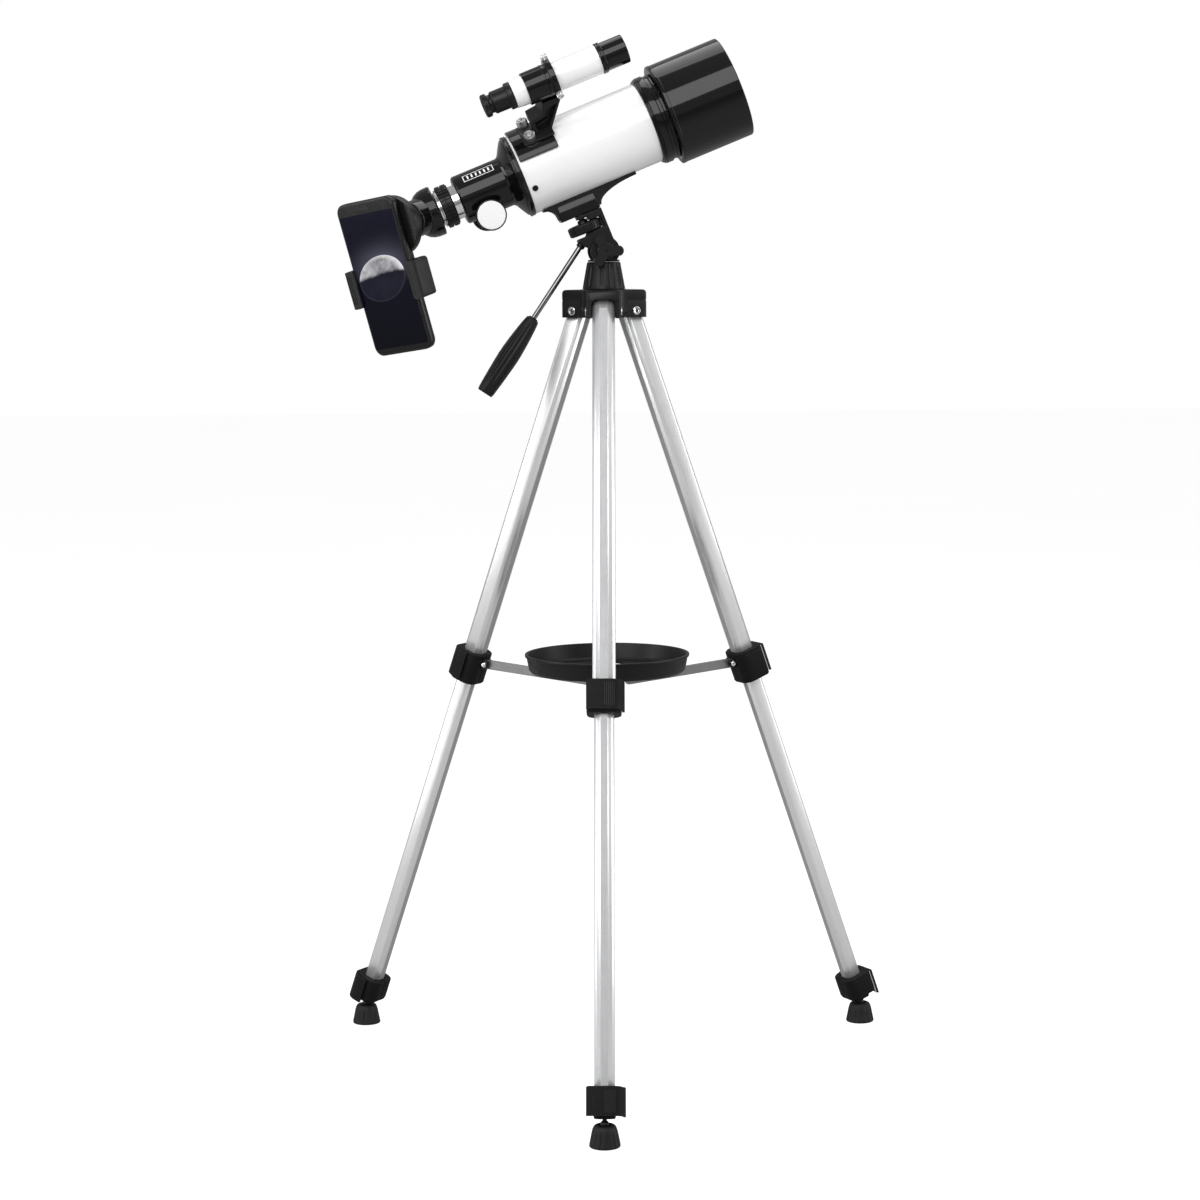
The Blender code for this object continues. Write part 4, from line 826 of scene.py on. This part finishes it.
def make_phone():
    phone = eye @ shift(PHONE_X, PHONE_Y, PHONE_BACK)
    outline = round_box(PHONE_W, PHONE_H, PHONE_CORNER, 14)
    loops = []
    for k in range(7):
        angle = math.radians(-90 + 30 * k)
        inset = PHONE_EDGE * (1 - math.cos(angle))
        flat = (PHONE_T / 2 - PHONE_EDGE) * (1 if k > 3 else -1 if k < 3 else 0)
        z = PHONE_T / 2 + flat + PHONE_EDGE * math.sin(angle)
        shrink_x, shrink_y = 1 - inset / (PHONE_W / 2), 1 - inset / (PHONE_H / 2)
        loops.append([(x * shrink_x, y * shrink_y, z) for x, y in outline])
    piece("phone_body", mesh_from(loops, sharp=50), phone, "phone", "eyepiece_head", ("phone",))
    glass = round_box(PHONE_W - 0.004, PHONE_H - 0.004, PHONE_CORNER - 0.0018, 14)
    piece("phone_glass_front", prism(glass, PHONE_T - 0.001, PHONE_T + 0.00008), phone,
          "phone_front", "eyepiece_head", (), 0.0002)
    picture = round_box(PHONE_W - 0.0052, PHONE_H - 0.0195, 0.0012, 4)
    piece("phone_screen", prism(picture, PHONE_T - 0.0008, PHONE_T + 0.00016),
          phone @ shift(0, -0.00275), "screen", "eyepiece_head")
    slot_mesh = prism(round_box(0.012, 0.0014, 0.0007, 5), PHONE_T - 0.0008, PHONE_T + 0.00014)
    piece("phone_earpiece", slot_mesh, phone @ shift(0, PHONE_H / 2 - 0.0075), "satin", "eyepiece_head")
    keys = []
    for y, length in ((0.04, 0.011), (0.022, 0.016)):
        key = prism(round_box(0.003, length, 0.0012, 4), -0.0004, 0.0005)
        keys.append((key, shift(PHONE_W / 2 - 0.0001, y, PHONE_T / 2) @ turn(90, "Y")))
    piece("phone_keys", gathered(keys), phone, "phone", "eyepiece_head", (), 0.0003)


# ---------------------------------------------------------------- saddle, platform and head
CHEEK_R, CHEEK_INSIDE, CHEEK_OUTSIDE = 0.0145, 0.0123, 0.0168
PLATFORM_TOP = 0.0412
CONE_TOP, CONE_BOTTOM_R, CONE_TOP_R = 0.812, 0.0212, 0.0168
HUB_BOTTOM, HUB_TOP, HUB_REACH, HUB_ARM = 0.757, 0.785, 0.0412, 0.034


def make_saddle():
    right = arc(0.058, 0.044, 0.043, 90, 180, 18, 0.0135)
    left = arc(-0.041, 0.047, 0.011, 0, 90, 15, 0.0105)
    wings = [(0.058, 0.064)] + right + [(0.0135, 0.0436), (0.012, 0.0432), (-0.028, 0.0432),
            (-0.0296, 0.044)]
    wings += left + [(-0.041, 0.064)]
    bore = rod_mesh(TUBE_R + 0.0001, 0.2, FINE)
    mesh = cut(prism(wings, -0.0112, 0.0112, "Y"), bore, shift(z=OPTICAL_V) @ ROLL_TO_X)
    piece("saddle_wings", mesh, scope, "plastic", "tilt_head", ("tube_saddle",), 0.0006)
    section = [(-0.0106, 0.0586), (-0.0125, 0.053), (-0.0125, 0.0424), (-0.0113, PLATFORM_TOP + GAP),
               (0.0113, PLATFORM_TOP + GAP), (0.0125, 0.0424), (0.0125, 0.053), (0.0106, 0.0586)]
    lean = 0.1                          # how far the block's ends lean in as they rise
    block = mesh_from([[(u + math.copysign(lean, -u) * (z - PLATFORM_TOP), y, z) for y, z in section]
                       for u in (-0.0294, 0.0128)])
    block = cut(block, bore.copy(), shift(z=OPTICAL_V) @ ROLL_TO_X)
    piece("saddle_block", block, scope, "gloss", "tilt_head", (), 0.0012, 3)


def make_platform():
    root = scope.inverted() @ pivot("handle_twist")
    slope = scope.inverted().to_3x3() @ handle.to_3x3().col[2]
    step = Vector((slope.x, slope.z)).normalized()
    square = Vector((-step.y, step.x))
    face = [Vector((root.x, root.z)) + square * k for k in (0.0046, -0.0046)]
    if face[0].y < face[1].y:
        face.reverse()
    outline = [(0.0127, 0.007), (0.0127, PLATFORM_TOP), (-0.013, PLATFORM_TOP), (-0.013, 0.0376),
               (-0.0024, 0.0376), (-0.0024, 0.0335), (0.009, 0.0335), (0.009, 0.0225),
               (-0.0085, 0.0225), (-0.0105, 0.0195), (face[0].x + 0.001, 0.0195), tuple(face[0]),
               tuple(face[1])]
    outline += arc(0, 0, 0.008, 150, 350, 24)
    carrier = prism(outline, -0.012, 0.012, "Y")
    carrier = cut(carrier, rod_mesh(0.0036, 0.01), shift(-0.0086, 0, 0.0395))
    piece("platform_carrier", carrier, scope, "plastic", "tilt_head", ("platform",), 0.0009, 3)


def make_mount_screw():
    wheel = axes(pivot("mount_screw"), y=scope.to_3x3().col[1], z=along("mount_screw"))
    base = wheel.inverted() @ (scope @ Vector((-0.0086, 0, 0)))
    low, high = base.z + 0.023, base.z + 0.033
    profile = ((0.0004, low + 0.0006), (0.012, low + 0.0006), (0.0128, low), (0.0152, low),
               (0.0166, low + 0.0008), (0.017, low + 0.0016), (0.017, high - 0.0016),
               (0.0166, high - 0.0008), (0.0152, high), (0.013, high), (0.0122, high - 0.0008),
               (0.006, high - 0.0008), (0.0054, high), (0.0048, high + 0.0034), (0.0033, high + 0.0036),
               (0.0004, high + 0.0036))
    mesh = turned(profile, 36 * 8, False, 0.0003, toothed(36, 0.0006, 0.016, 0.35), 30)
    piece("thumbwheel", mesh, wheel, "satin", "mount_wheel", ("platform_thumbwheel",))
    thread = [(0.0004, high + 0.003)]
    top = base.z + PLATFORM_TOP
    z = high + 0.003
    while z < top - 0.0006:
        thread += [(0.0027, z), (0.0031, z + 0.0003)]
        z += 0.0008
    thread += [(0.0024, top - 0.0001), (0.0004, top - 0.0001)]
    piece("mount_screw_thread", turned(thread, SMALL, ease=0.0001), wheel, "chrome", "mount_wheel")


def make_tilt_cheeks():
    base_z = CONE_TOP + GAP - pivot("tilt").z
    start = math.degrees(math.asin(base_z / CHEEK_R))
    housing = prism(arc(0, 0, CHEEK_R, start, 180 - start, 64), -CHEEK_OUTSIDE, CHEEK_OUTSIDE, "Y")
    housing = cut(housing, box_mesh(0.04, 2 * CHEEK_INSIDE, 0.04), shift(z=base_z + 0.0022 + 0.02))
    piece("tilt_cheeks", housing, pan_head, "plastic", "pan_head", ("tilt_housing",), 0.001, 3)
    disc = turned(((0.0004, CONE_TOP + GAP), (0.0158, CONE_TOP + GAP), (0.016, CONE_TOP + 0.0008),
            (0.0152, CONE_TOP + 0.0022), (0.0004, CONE_TOP + 0.0022)), ROUND, ease=0.0004)
    piece("pan_disc", disc, tripod, "plastic", "pan_head")


def make_lock_knob():
    near = CHEEK_OUTSIDE + GAP
    knob = turned(((0.0004, near - 0.0008), (0.0086, near), (0.0092, near + 0.001),
            (0.009, near + 0.0052), (0.0078, near + 0.0064), (0.005, near + 0.0066),
            (0.0044, near + 0.0058), (0.0004, near + 0.0058)), ROUND, ease=0.0006)
    for lean in (0, 125, 240):
        lobe = [(0.001, -0.005), (0.0085, -0.0047)] + arc(0.012, 0, 0.0053, -70, 70,
                16) + [(0.0085, 0.0047), (0.001, 0.005)]
        knob = combine(knob, prism(lobe, near + 0.0022, near + 0.0086), turn(-lean, "Z"))
    lock = axes(pivot("tilt"), z=along("tilt_lock"), x=pan_head.to_3x3().col[0])
    piece("lock_knob", knob, lock, "satin", "tilt_knob", ("tilt_lock_knob",), 0.0019, 4)
    cap = turned(((0.0004, near + 0.0058), (0.0036, near + 0.006), (0.0034, near + 0.007),
                  (0.0004, near + 0.0072)), SMALL)
    piece("lock_knob_cap", cap, lock, "gloss", "tilt_knob")
    bolt = turned(((0.0004, -near - 0.0001), (0.005, -near - 0.0001), (0.005, -CHEEK_OUTSIDE + 0.0006),
            (0.0004, -CHEEK_OUTSIDE + 0.0006)), 6, ease=0.0003)
    piece("lock_bolt_head", bolt, lock, "spun", "tilt_knob")


FLUTES, FLUTE_DEPTH, FLUTE_WIDTH = 11, 0.0011, 0.085        # the width in radians


def make_cone():
    """The cone under the head, with flutes of uneven depth and spacing."""
    weights = [0.75 + 0.5 * abs(math.sin(2.3 * k + 0.7)) for k in range(FLUTES)]
    offsets = [0.1 * math.sin(1.7 * k) for k in range(FLUTES)]

    def flute(angle, radius, height):
        depth = 0.0
        for k in range(FLUTES):
            apart = (angle - math.tau * (k + offsets[k]) / FLUTES + math.pi) % math.tau - math.pi
            depth += FLUTE_DEPTH * weights[k] * math.exp(-(apart / FLUTE_WIDTH) ** 2)
        fade = min(1.0, max(0.0, (CONE_TOP - 0.0012 - height) / 0.004),
                   max(0.0, (height - HUB_TOP - 0.0008) / 0.002))
        return radius - depth * max(0.0, fade)

    bottom, top = HUB_TOP + GAP, CONE_TOP
    profile = [(0.0004, bottom), (CONE_BOTTOM_R, bottom), (CONE_BOTTOM_R, bottom + 0.0008)]
    for k in range(1, 11):
        radius = CONE_BOTTOM_R + (CONE_TOP_R - CONE_BOTTOM_R) * k / 10
        profile.append((radius, bottom + 0.0012 + (top - bottom - 0.0026) * k / 10))
    profile += [(CONE_TOP_R - 0.0006, top - 0.0002), (CONE_TOP_R - 0.0016, top), (0.0004, top)]
    piece("fluted_cone", turned(profile, 288, ease=0.0002, wave=flute), tripod, "plastic", "hub",
          ("head_base_cone",))


HANDLE_ROD_R, GRIP_START = 0.0027, 0.088


def make_handle():
    start = GRIP_START
    rod = ((0.0003, GAP), (HANDLE_ROD_R, GAP), (HANDLE_ROD_R, start + 0.004), (0.0003, start + 0.004))
    # the rod's darkened chrome is painted shade for its dark reflection
    piece("handle_bar", turned(rod, SMALL, ease=0.0003), handle, "rod", "handle", ("handle_rod",))
    collar = turned(((0.0026, 0.0004), (0.0042, 0.0004), (0.0042, 0.003), (0.0034, 0.0038),
            (0.0026, 0.0038)), SMALL, True)
    piece("handle_collar", collar, handle, "satin", "handle")
    sizes = ((0.0, 0.0118, 0.0108), (0.0008, 0.0142, 0.0126), (0.004, 0.0158, 0.0138),
             (0.009, 0.0184, 0.0152), (0.018, 0.0216, 0.017), (0.028, 0.0243, 0.0186),
             (0.038, 0.0259, 0.0197), (0.046, 0.0262, 0.02), (0.056, 0.0252, 0.0194),
             (0.066, 0.0232, 0.0186), (0.076, 0.0208, 0.0176), (0.0845, 0.0188, 0.0166),
             (0.0872, 0.0176, 0.0156), (0.088, 0.016, 0.0142))
    corners = ((1, .35), (.82, .72), (.45, 1), (-.45, 1), (-.82, .72), (-1, .35), (-1, -.35),
               (-.82, -.72), (-.45, -1), (.45, -1), (.82, -.72), (1, -.35))
    flat = [Vector(point) for point in eased([Vector(c) for c in corners], 0.09, 4, closed=True)]

    def grip_loop(rise, width, depth):
        groove = 0.055 * min(1.0, max(0.0, (rise - 0.006) / 0.008), max(0.0, (0.08 - rise) / 0.01))
        loop = []
        for here, ahead in zip(flat, flat[1:] + flat[:1]):
            for t in (0.0, 0.25, 0.5, 0.75):
                point = here.lerp(ahead, t)
                around = math.atan2(point.y, point.x)
                sink = 1 - groove * max(0.0, math.cos(12 * around)) ** 6
                loop.append((point.y * depth / 2 * sink, point.x * width / 2 * sink, start + rise))
        return loop

    grip = mesh_from([grip_loop(*size) for size in sizes], sharp=45)
    piece("handle_handgrip", grip, handle @ turn(90, "Z"), "plastic", "handle", ("handle_grip",), 0.0003)
    mouth = turned(((0.0026, start - 0.0012), (0.0046, start - 0.0012), (0.0052, start + 0.0006),
            (0.0026, start + 0.0006)), SMALL, True, 0.0003)
    piece("handle_ferrule", mouth, handle, "plastic", "handle")


# ---------------------------------------------------------------- tripod
UPPER_TUBE, MIDDLE_TUBE, LOWER_TUBE = (0.0222, 0.0206), (0.0192, 0.0176), (0.0162, 0.0146)
UPPER_SPAN, MIDDLE_SPAN, LOWER_SPAN = (-0.008, 0.392), (0.345, 0.773), (0.405, 0.7825)
UPPER_CLAMP, LOWER_CLAMP = (0.374, 0.407), (0.757, 0.7755)
LUG_S = 0.3830                          # the strut lugs' distance down from the hip
CLAMP_W, CLAMP_D, CLAMP_CORNER, LEVER_T = 0.03, 0.0335, 0.0108, 0.0027
STRUT_LENGTH, STRUT_H, STRUT_T = 0.1206, 0.0096, 0.003
HUB_SEAM, SLOT_WIDTH, SLOT_ROOF, SLOT_CORNER = 0.7739, 0.0238, 0.7755, 0.005
TRAY_HOLE_R, TRAY_HOLE_OUT = 0.0165, 0.044
BALL_DISTANCE, BALL_R, STUD_R = 0.7934, 0.0044, 0.0021
FOOT_H, FOOT_BASE_R, FOOT_FLUTES = 0.0206, 0.0148, 14
TRAY_BOTTOM, TRAY_RIM_Z, TRAY_RIM_R, TRAY_FLOOR_R = 0.401, 0.4195, 0.083, 0.0765


def leg_section(size, grow=0.0):
    """A flat front and back with bevelled shoulders and narrow sides, as an extrusion has."""
    width, depth = size[0] / 2 + grow, size[1] / 2 + grow
    quarter = [(1.0, 0.4), (0.84, 0.76), (0.56, 1.0)]
    front = [(depth * x, width * y) for x, y in quarter]
    back = [(-x, y) for x, y in reversed(front)]
    outline = front + back + [(-x, -y) for x, y in front] + [(x, -y) for x, y in reversed(front)]
    return eased([Vector(point) for point in outline], 0.0007, 3, closed=True)


def across_leg(outline, distance):
    """An outline square to the leg, that far down from the hip."""
    return [(x, y, -distance) for x, y in outline]


def leg_part(size, span, wall=0.001):
    top, end = span
    rings = ((top, -0.0002), (top + 0.0003, 0), (end - 0.0003, 0), (end, -0.0002), (end, -wall),
             (top, -wall))
    return mesh_from([across_leg(leg_section(size, grow), s) for s, grow in rings], closed=True)


def painted_shade_strips(size, span):
    """A darker strip on the flat front and back of a leg: painted shade for the flats' darker reflection,
    with brushed streaks.
    """
    top, end = span
    width, depth = size[0] / 2, size[1] / 2
    strips = []
    for side in (-1, 1):
        x = side * depth
        loop = [(x - side * 0.0004, -width * 0.36), (x + side * 0.00008, -width * 0.36),
                (x + side * 0.00008, width * 0.36), (x - side * 0.0004, width * 0.36)]
        strips.append((mesh_from([across_leg(loop, s) for s in (top, end)]), Matrix()))
    return gathered(strips)


def make_clamp(side, level, leg, span, body, lever_body, nose):
    top, end = span
    name = f"{level}_clamp_{side}"
    outline = round_box(CLAMP_W, CLAMP_D, (CLAMP_CORNER, CLAMP_CORNER, CLAMP_CORNER, 0.0045), 8)
    levels = [(0.965, top), (1.0, top + 0.0007), (1.0, end - 0.0012), (0.955, end)]
    if nose:
        top, end = top + 0.002, end + 0.0083
        levels = [(0.965, top), (1.0, top + 0.0007), (1.0, end - 0.004), (0.94, end - 0.0012),
                  (0.72, end + 0.0006), (0.63, end + 0.0012), (0.6, end + 0.0036), (0.585, end + 0.0042)]
    collar = mesh_from([across_leg([(x * k, y * k) for x, y in outline], s) for k, s in levels])
    outer, inner = (MIDDLE_TUBE, LOWER_TUBE) if nose else (UPPER_TUBE, MIDDLE_TUBE)
    tube_end = MIDDLE_SPAN[1] if nose else UPPER_SPAN[1]
    for size, reach in ((outer, (top - 0.02, tube_end)), (inner, (end - 0.02, end + 0.02))):
        collar = cut(collar, mesh_from([across_leg(leg_section(size, 0.0002), s) for s in reach]))
    collar = cut(collar, box_mesh(0.009, 0.0011, 0.06), shift(-0.015, 0.001, -(top + end) / 2))
    for ridge in (-1, 1):
        collar = cut(collar, box_mesh(0.03, 0.001, 0.0006),
                     shift(-0.003, ridge * CLAMP_D / 2, -top - 0.0042))
    piece(name + "_collar", collar, leg, "clamp", body, (f"{level}_clamp_body_{side}",), 0.0005)
    if not nose:
        make_strut_lug(side, leg, body)
    make_lever(name, f"{level}_clamp_lever_{side}", leg, lever_body, top + 0.001,
               end + (0.003 if nose else -0.003))


def make_lever(name, node, leg, lever_body, lever_top, lever_end):
    """The curved lever over a clamp's outer side, with its ribs and hinge pin."""
    corner, thick = CLAMP_CORNER, LEVER_T
    cx, cy = CLAMP_W / 2 - corner, CLAMP_D / 2 - corner
    outer_x = cx + corner + GAP + thick
    outer_face = arc(cx, cy, corner + GAP + thick, 90, 0, 12) + [(outer_x, -0.0128)]
    outer_face += arc(outer_x - 0.003, -0.014, 0.003, 0, -90, 5)
    inner_face = [(outer_x - thick, -0.0168)] + arc(cx, cy, corner + GAP, 0, 90, 12)
    flap = [(cx - 0.006, cy + corner + GAP + thick)] + outer_face + inner_face
    flap.append((cx - 0.006, cy + corner + GAP))
    lever = prism(flap, -lever_end, -lever_top)
    middle = -(lever_top + lever_end) / 2
    tall = lever_end - lever_top
    lever = cut(lever, box_mesh(0.0012, 0.0011, tall * 0.36), shift(outer_x, -0.0102, middle))
    piece(name + "_lever", lever, leg, "clamp", lever_body, (node,), 0.0005)
    ribs = []
    for k in range(6):
        y = 0.0008 + 0.0018 * k
        x = cx + math.sqrt((corner + GAP + thick) ** 2 - max(0.0, y - cy) ** 2)
        ribs.append((box_mesh(0.0008, 0.0007, tall - 0.006), shift(x, y, middle)))
    piece(name + "_ribs", gathered(ribs), leg, "clip", lever_body, (), 0.0002, 1)
    hinge = turned(((0.0003, -lever_end + 0.0004), (0.0012, -lever_end + 0.0004),
            (0.0012, -lever_top - 0.0004), (0.0003, -lever_top - 0.0004)), 24, ease=0.0003)
    piece(name + "_pin", hinge, leg @ shift(outer_x - 0.003, -0.0142), "chrome", lever_body)


def make_strut_lug(side, leg, body):
    cheeks = []
    for hand in (-1, 1):
        cheek = prism([(x - 0.0158, z) for x, z in round_box(0.0116, 0.0104, 0.005, 8)],
                      min(hand * 0.0021, hand * 0.0056), max(hand * 0.0021, hand * 0.0056), "Y")
        cheeks.append((cheek, shift(z=-LUG_S)))
    piece(f"strut_lug_{side}", gathered(cheeks), leg, "satin", body, (), 0.0006)
    head = turned(((0.0003, -0.0076), (0.002, -0.0076), (0.003, -0.0064), (0.003, -0.0057),
            (0.0012, -0.0056), (0.0012, 0.0056), (0.003, 0.0057), (0.003, 0.0064), (0.002, 0.0076),
            (0.0003, 0.0076)), SMALL, ease=0.0006)
    strut_place = axes(pivot(f"strut_fold_{side}"), z=leg.to_3x3().col[1], x=leg.to_3x3().col[0])
    piece(f"strut_pin_{side}", head, strut_place, "chrome", body)


def make_leg(side):
    leg = axes(pivot("leg_fold_" + side), y=along("leg_fold_" + side), z=-along("middle_extend_" + side))
    leg_body, middle_body, lower_body = (f"{part}_{side}" for part in ("leg", "middle_leg", "lower_leg"))
    piece("upper_tube_" + side, leg_part(UPPER_TUBE, UPPER_SPAN), leg, "anodised", leg_body,
          ("upper_leg_tube_" + side,))
    piece("middle_tube_" + side, leg_part(MIDDLE_TUBE, MIDDLE_SPAN), leg, "anodised", middle_body,
          ("middle_leg_tube_" + side,))
    # the darker strips down the flats are painted shade, standing for their darker reflection
    piece("upper_leg_painted_shade_" + side, painted_shade_strips(UPPER_TUBE, (0.0, UPPER_CLAMP[0] + 0.002)), leg,
          "band", leg_body)
    band = painted_shade_strips(MIDDLE_TUBE, (UPPER_CLAMP[1] - 0.002, LOWER_CLAMP[0] + 0.004))
    piece("middle_leg_painted_shade_" + side, band, leg, "band", middle_body)

    def round_loop(radius, s):
        return across_leg([tuple(radius * v for v in Vector(point).normalized()) for point in section], s)

    end = LOWER_SPAN[1]
    section = leg_section(LOWER_TUBE)
    loops = [across_leg(section, s) for s in (LOWER_SPAN[0], end - 0.0102)]
    piece("lower_tube_" + side, mesh_from(loops), leg, "anodised", lower_body,
          ("lower_leg_tube_" + side,))
    loops = [across_leg(section, s) for s in (end - 0.01, end - 0.0042)]
    loops += [round_loop(0.0071, end - 0.0032), round_loop(0.0066, end - 0.0004), round_loop(0.006, end)]
    loops.append(round_loop(STUD_R, end + 0.0001))
    for lean in (math.radians(a) for a in range(30, 176, 12)):
        loops.append(round_loop(BALL_R * math.sin(lean), BALL_DISTANCE - BALL_R * math.cos(lean)))
    piece("leg_plug_" + side, mesh_from(loops), leg, "satin", lower_body)

    make_clamp(side, "upper", leg, UPPER_CLAMP, leg_body, "upper_lever_" + side, False)
    make_clamp(side, "lower", leg, LOWER_CLAMP, middle_body, "lower_lever_" + side, True)

    make_rivet(side, leg)
    make_strut(side)
    make_foot(side)


def make_rivet(side, leg):
    half = HUB_ARM / 2
    rivet_place = axes(pivot("leg_fold_" + side), z=along("leg_fold_" + side), x=leg.to_3x3().col[0])
    ends = []
    for hand in (0, 180):
        washer = turned(((0.0014, half - 0.004), (0.0024, half - 0.004), (0.0026, half + GAP),
                (0.0042, half + GAP), (0.0043, half + 0.0008), (0.0036, half + 0.0014),
                (0.0021, half + 0.0012), (0.0014, half - 0.0006)), SMALL, True, 0.0002)
        ends.append((washer, turn(hand, "X")))
    piece("hollow_rivet_" + side, gathered(ends), rivet_place, "chrome", "hub", ("leg_rivet_" + side,))


def make_strut(side):
    strut_place = axes(pivot("strut_fold_" + side), y=along("strut_fold_" + side),
            x=strut_direction(side))
    bar = arc(0, 0, STRUT_H / 2, 90, -90, 16) + arc(-STRUT_LENGTH, 0, STRUT_H / 2, -90, -270, 16)
    piece("strut_bar_" + side, prism(bar, -STRUT_T / 2, STRUT_T / 2, "Y"), strut_place, "strut",
          "strut_" + side, ("spreader_strut_" + side,), 0.0005)


def strut_direction(side):
    """Outward along a strut, from its CAD solid's middle to its pin."""
    return (pivot("strut_fold_" + side) - node_middle("spreader_strut_" + side)).normalized()


def make_foot(side):
    centre = pivot("foot_swivel_" + side)

    def bell(angle, radius, height):
        if radius < 0.0100 or height < 0.0006:      # the neck, and the rim that stands on the floor
            return radius
        depth = 0.0011 * math.sin(math.pi * min(1.0, max(0.0, (height + 0.0015) / 0.019)))
        return radius - depth * (0.5 - 0.5 * math.cos(FOOT_FLUTES * angle)) ** 2

    profile = [(0.0004, 0.0), (FOOT_BASE_R - 0.0008, 0.0), (FOOT_BASE_R, 0.0009), (0.0146, 0.0025),
               (0.0141, 0.005), (0.0135, 0.008), (0.0129, 0.011), (0.0123, 0.014), (0.0116, 0.0165),
               (0.0107, 0.0187), (0.0096, 0.02), (0.0084, FOOT_H), (0.007, FOOT_H),
               (0.0058, FOOT_H - 0.001), (0.0051, 0.018), (0.003, 0.0162), (0.0004, 0.016)]
    outward = math.degrees(math.atan2(centre.y - pivot("pan").y, centre.x - pivot("pan").x))
    where = shift(centre.x, centre.y) @ turn(outward, "Z")
    piece("foot_bell_" + side, turned(profile, FOOT_FLUTES * 14, wave=bell), where, "rubber",
          "foot_" + side, ("rubber_foot_" + side,))


def toward_leg(side):
    """Inside the tripod's frame, turned toward a leg."""
    foot = Vector((pivot("pan").x, pivot("pan").y, 0))
    return tripod.inverted() @ axes(foot, y=along("leg_fold_" + side), z=UP)


def make_hub():
    hub = turned(((0.0004, HUB_BOTTOM + 0.004), (0.0225, HUB_BOTTOM + 0.004),
                  (0.0245, HUB_BOTTOM + 0.006), (0.0245, HUB_TOP - 0.0015), (0.0232, HUB_TOP),
                  (0.0004, HUB_TOP)), ROUND, ease=0.0005)
    half = HUB_ARM / 2
    for side in SIDES:
        place = toward_leg(side)
        outline = [(0.0, -half), (HUB_REACH - 0.0045, -half)] + arc(HUB_REACH - 0.0042,
                -half + 0.003, 0.003, -90, -40, 4)
        outline += arc(0, 0, HUB_REACH + 0.0008, -16, 16, 16)
        outline += arc(HUB_REACH - 0.0042, half - 0.003, 0.003, 40, 90,
                4) + [(HUB_REACH - 0.0045, half), (0.0, half)]
        top = HUB_TOP - 0.0006
        levels = ((HUB_BOTTOM, 1.0), (HUB_SEAM - 0.0006, 1.0), (HUB_SEAM - 0.0003, 0.988),
                  (HUB_SEAM + 0.0003, 0.988), (HUB_SEAM + 0.0006, 1.0), (top - 0.003, 1.0),
                  (top - 0.0015, 0.986), (top - 0.0005, 0.962), (top, 0.935))
        hub = combine(hub, mesh_from([[(x * k, y * k, z) for x, y in outline] for z, k in levels]), place)
    across, rise = SLOT_WIDTH / 2 - SLOT_CORNER, SLOT_ROOF - SLOT_CORNER
    arch = [(-SLOT_WIDTH / 2, 0.735), (SLOT_WIDTH / 2, 0.735)]
    arch += arc(across, rise, SLOT_CORNER, 0, 90, 6) + arc(-across, rise, SLOT_CORNER, 90, 180, 6)
    for place in map(toward_leg, SIDES):
        hub = cut(hub, prism(arch, 0.0138, 0.064, "X"), place)
        pin = place @ shift(0.0274, 0, pivot("leg_fold_front").z) @ turn(90, "X")
        hub = cut(hub, rod_mesh(0.0027, 0.05), pin)
    piece("hub_crown", hub, tripod, "satin", "hub", ("tripod_hub",), 0.0009, 3)


def make_tray():
    profile = ((0.0004, 0.3925), (0.0064, 0.3925), (0.007, 0.3931), (0.007, TRAY_BOTTOM),
               (TRAY_FLOOR_R, TRAY_BOTTOM), (0.079, 0.404), (TRAY_RIM_R - 0.0016, 0.4165),
               (TRAY_RIM_R, 0.4172), (TRAY_RIM_R, TRAY_RIM_Z), (TRAY_RIM_R - 0.003, TRAY_RIM_Z),
               (0.0772, 0.4052), (0.075, 0.4034), (0.011, 0.4034), (0.009, 0.4044), (0.004, 0.4048),
               (0.0036, 0.406), (0.0004, 0.406))
    tray = turned(profile, FINE, ease=0.0006)
    for side in SIDES:
        place = toward_leg(side)
        tray = cut(tray, rod_mesh(TRAY_HOLE_R, 0.012, ROUND),
                   place @ shift(-TRAY_HOLE_OUT, 0, 0.402) @ turn(1.3, "Z"))
        for hand in (-1, 1):
            fork = box_mesh(0.016, 0.0022, 0.009)
            tray = combine(tray, fork, place @ shift(0.024, hand * 0.0031, 0.3965))
    piece("tray_dish", tray, tripod, "plastic", "tray", ("accessory_tray",), 0.0006)
    screw = turned(((0.0003, 0.4058), (0.005, 0.4058), (0.0054, 0.4064), (0.0054, 0.4084),
            (0.0046, 0.409), (0.0003, 0.409)), 24 * 4, ease=0.0003, wave=knurled(24, 0.0004, 0.0049))
    piece("tray_screw", screw, tripod, "satin", "tray")


bpy.context.scene.view_settings.view_transform = "Standard"
for make in (make_camera, make_studio, make_tube, make_focuser, make_pinion_cover,
             make_drawtube, make_focus_scale, make_focus_knobs, make_finder,
             make_finder_bracket, make_finder_shoe, make_finder_screws, make_diagonal,
             make_eyepiece, make_adapter_rings, make_clip, make_phone, make_saddle,
             make_platform, make_mount_screw, make_tilt_cheeks, make_lock_knob, make_cone,
             make_handle, make_hub, make_tray):
    make()
for leg_side in SIDES:
    make_leg(leg_side)
focus_pinion = frame["nodes"]["focus_pinion"]
focus_pinion.data.materials.clear()
focus_pinion.data.materials.append(FINISHES["chrome"][0])
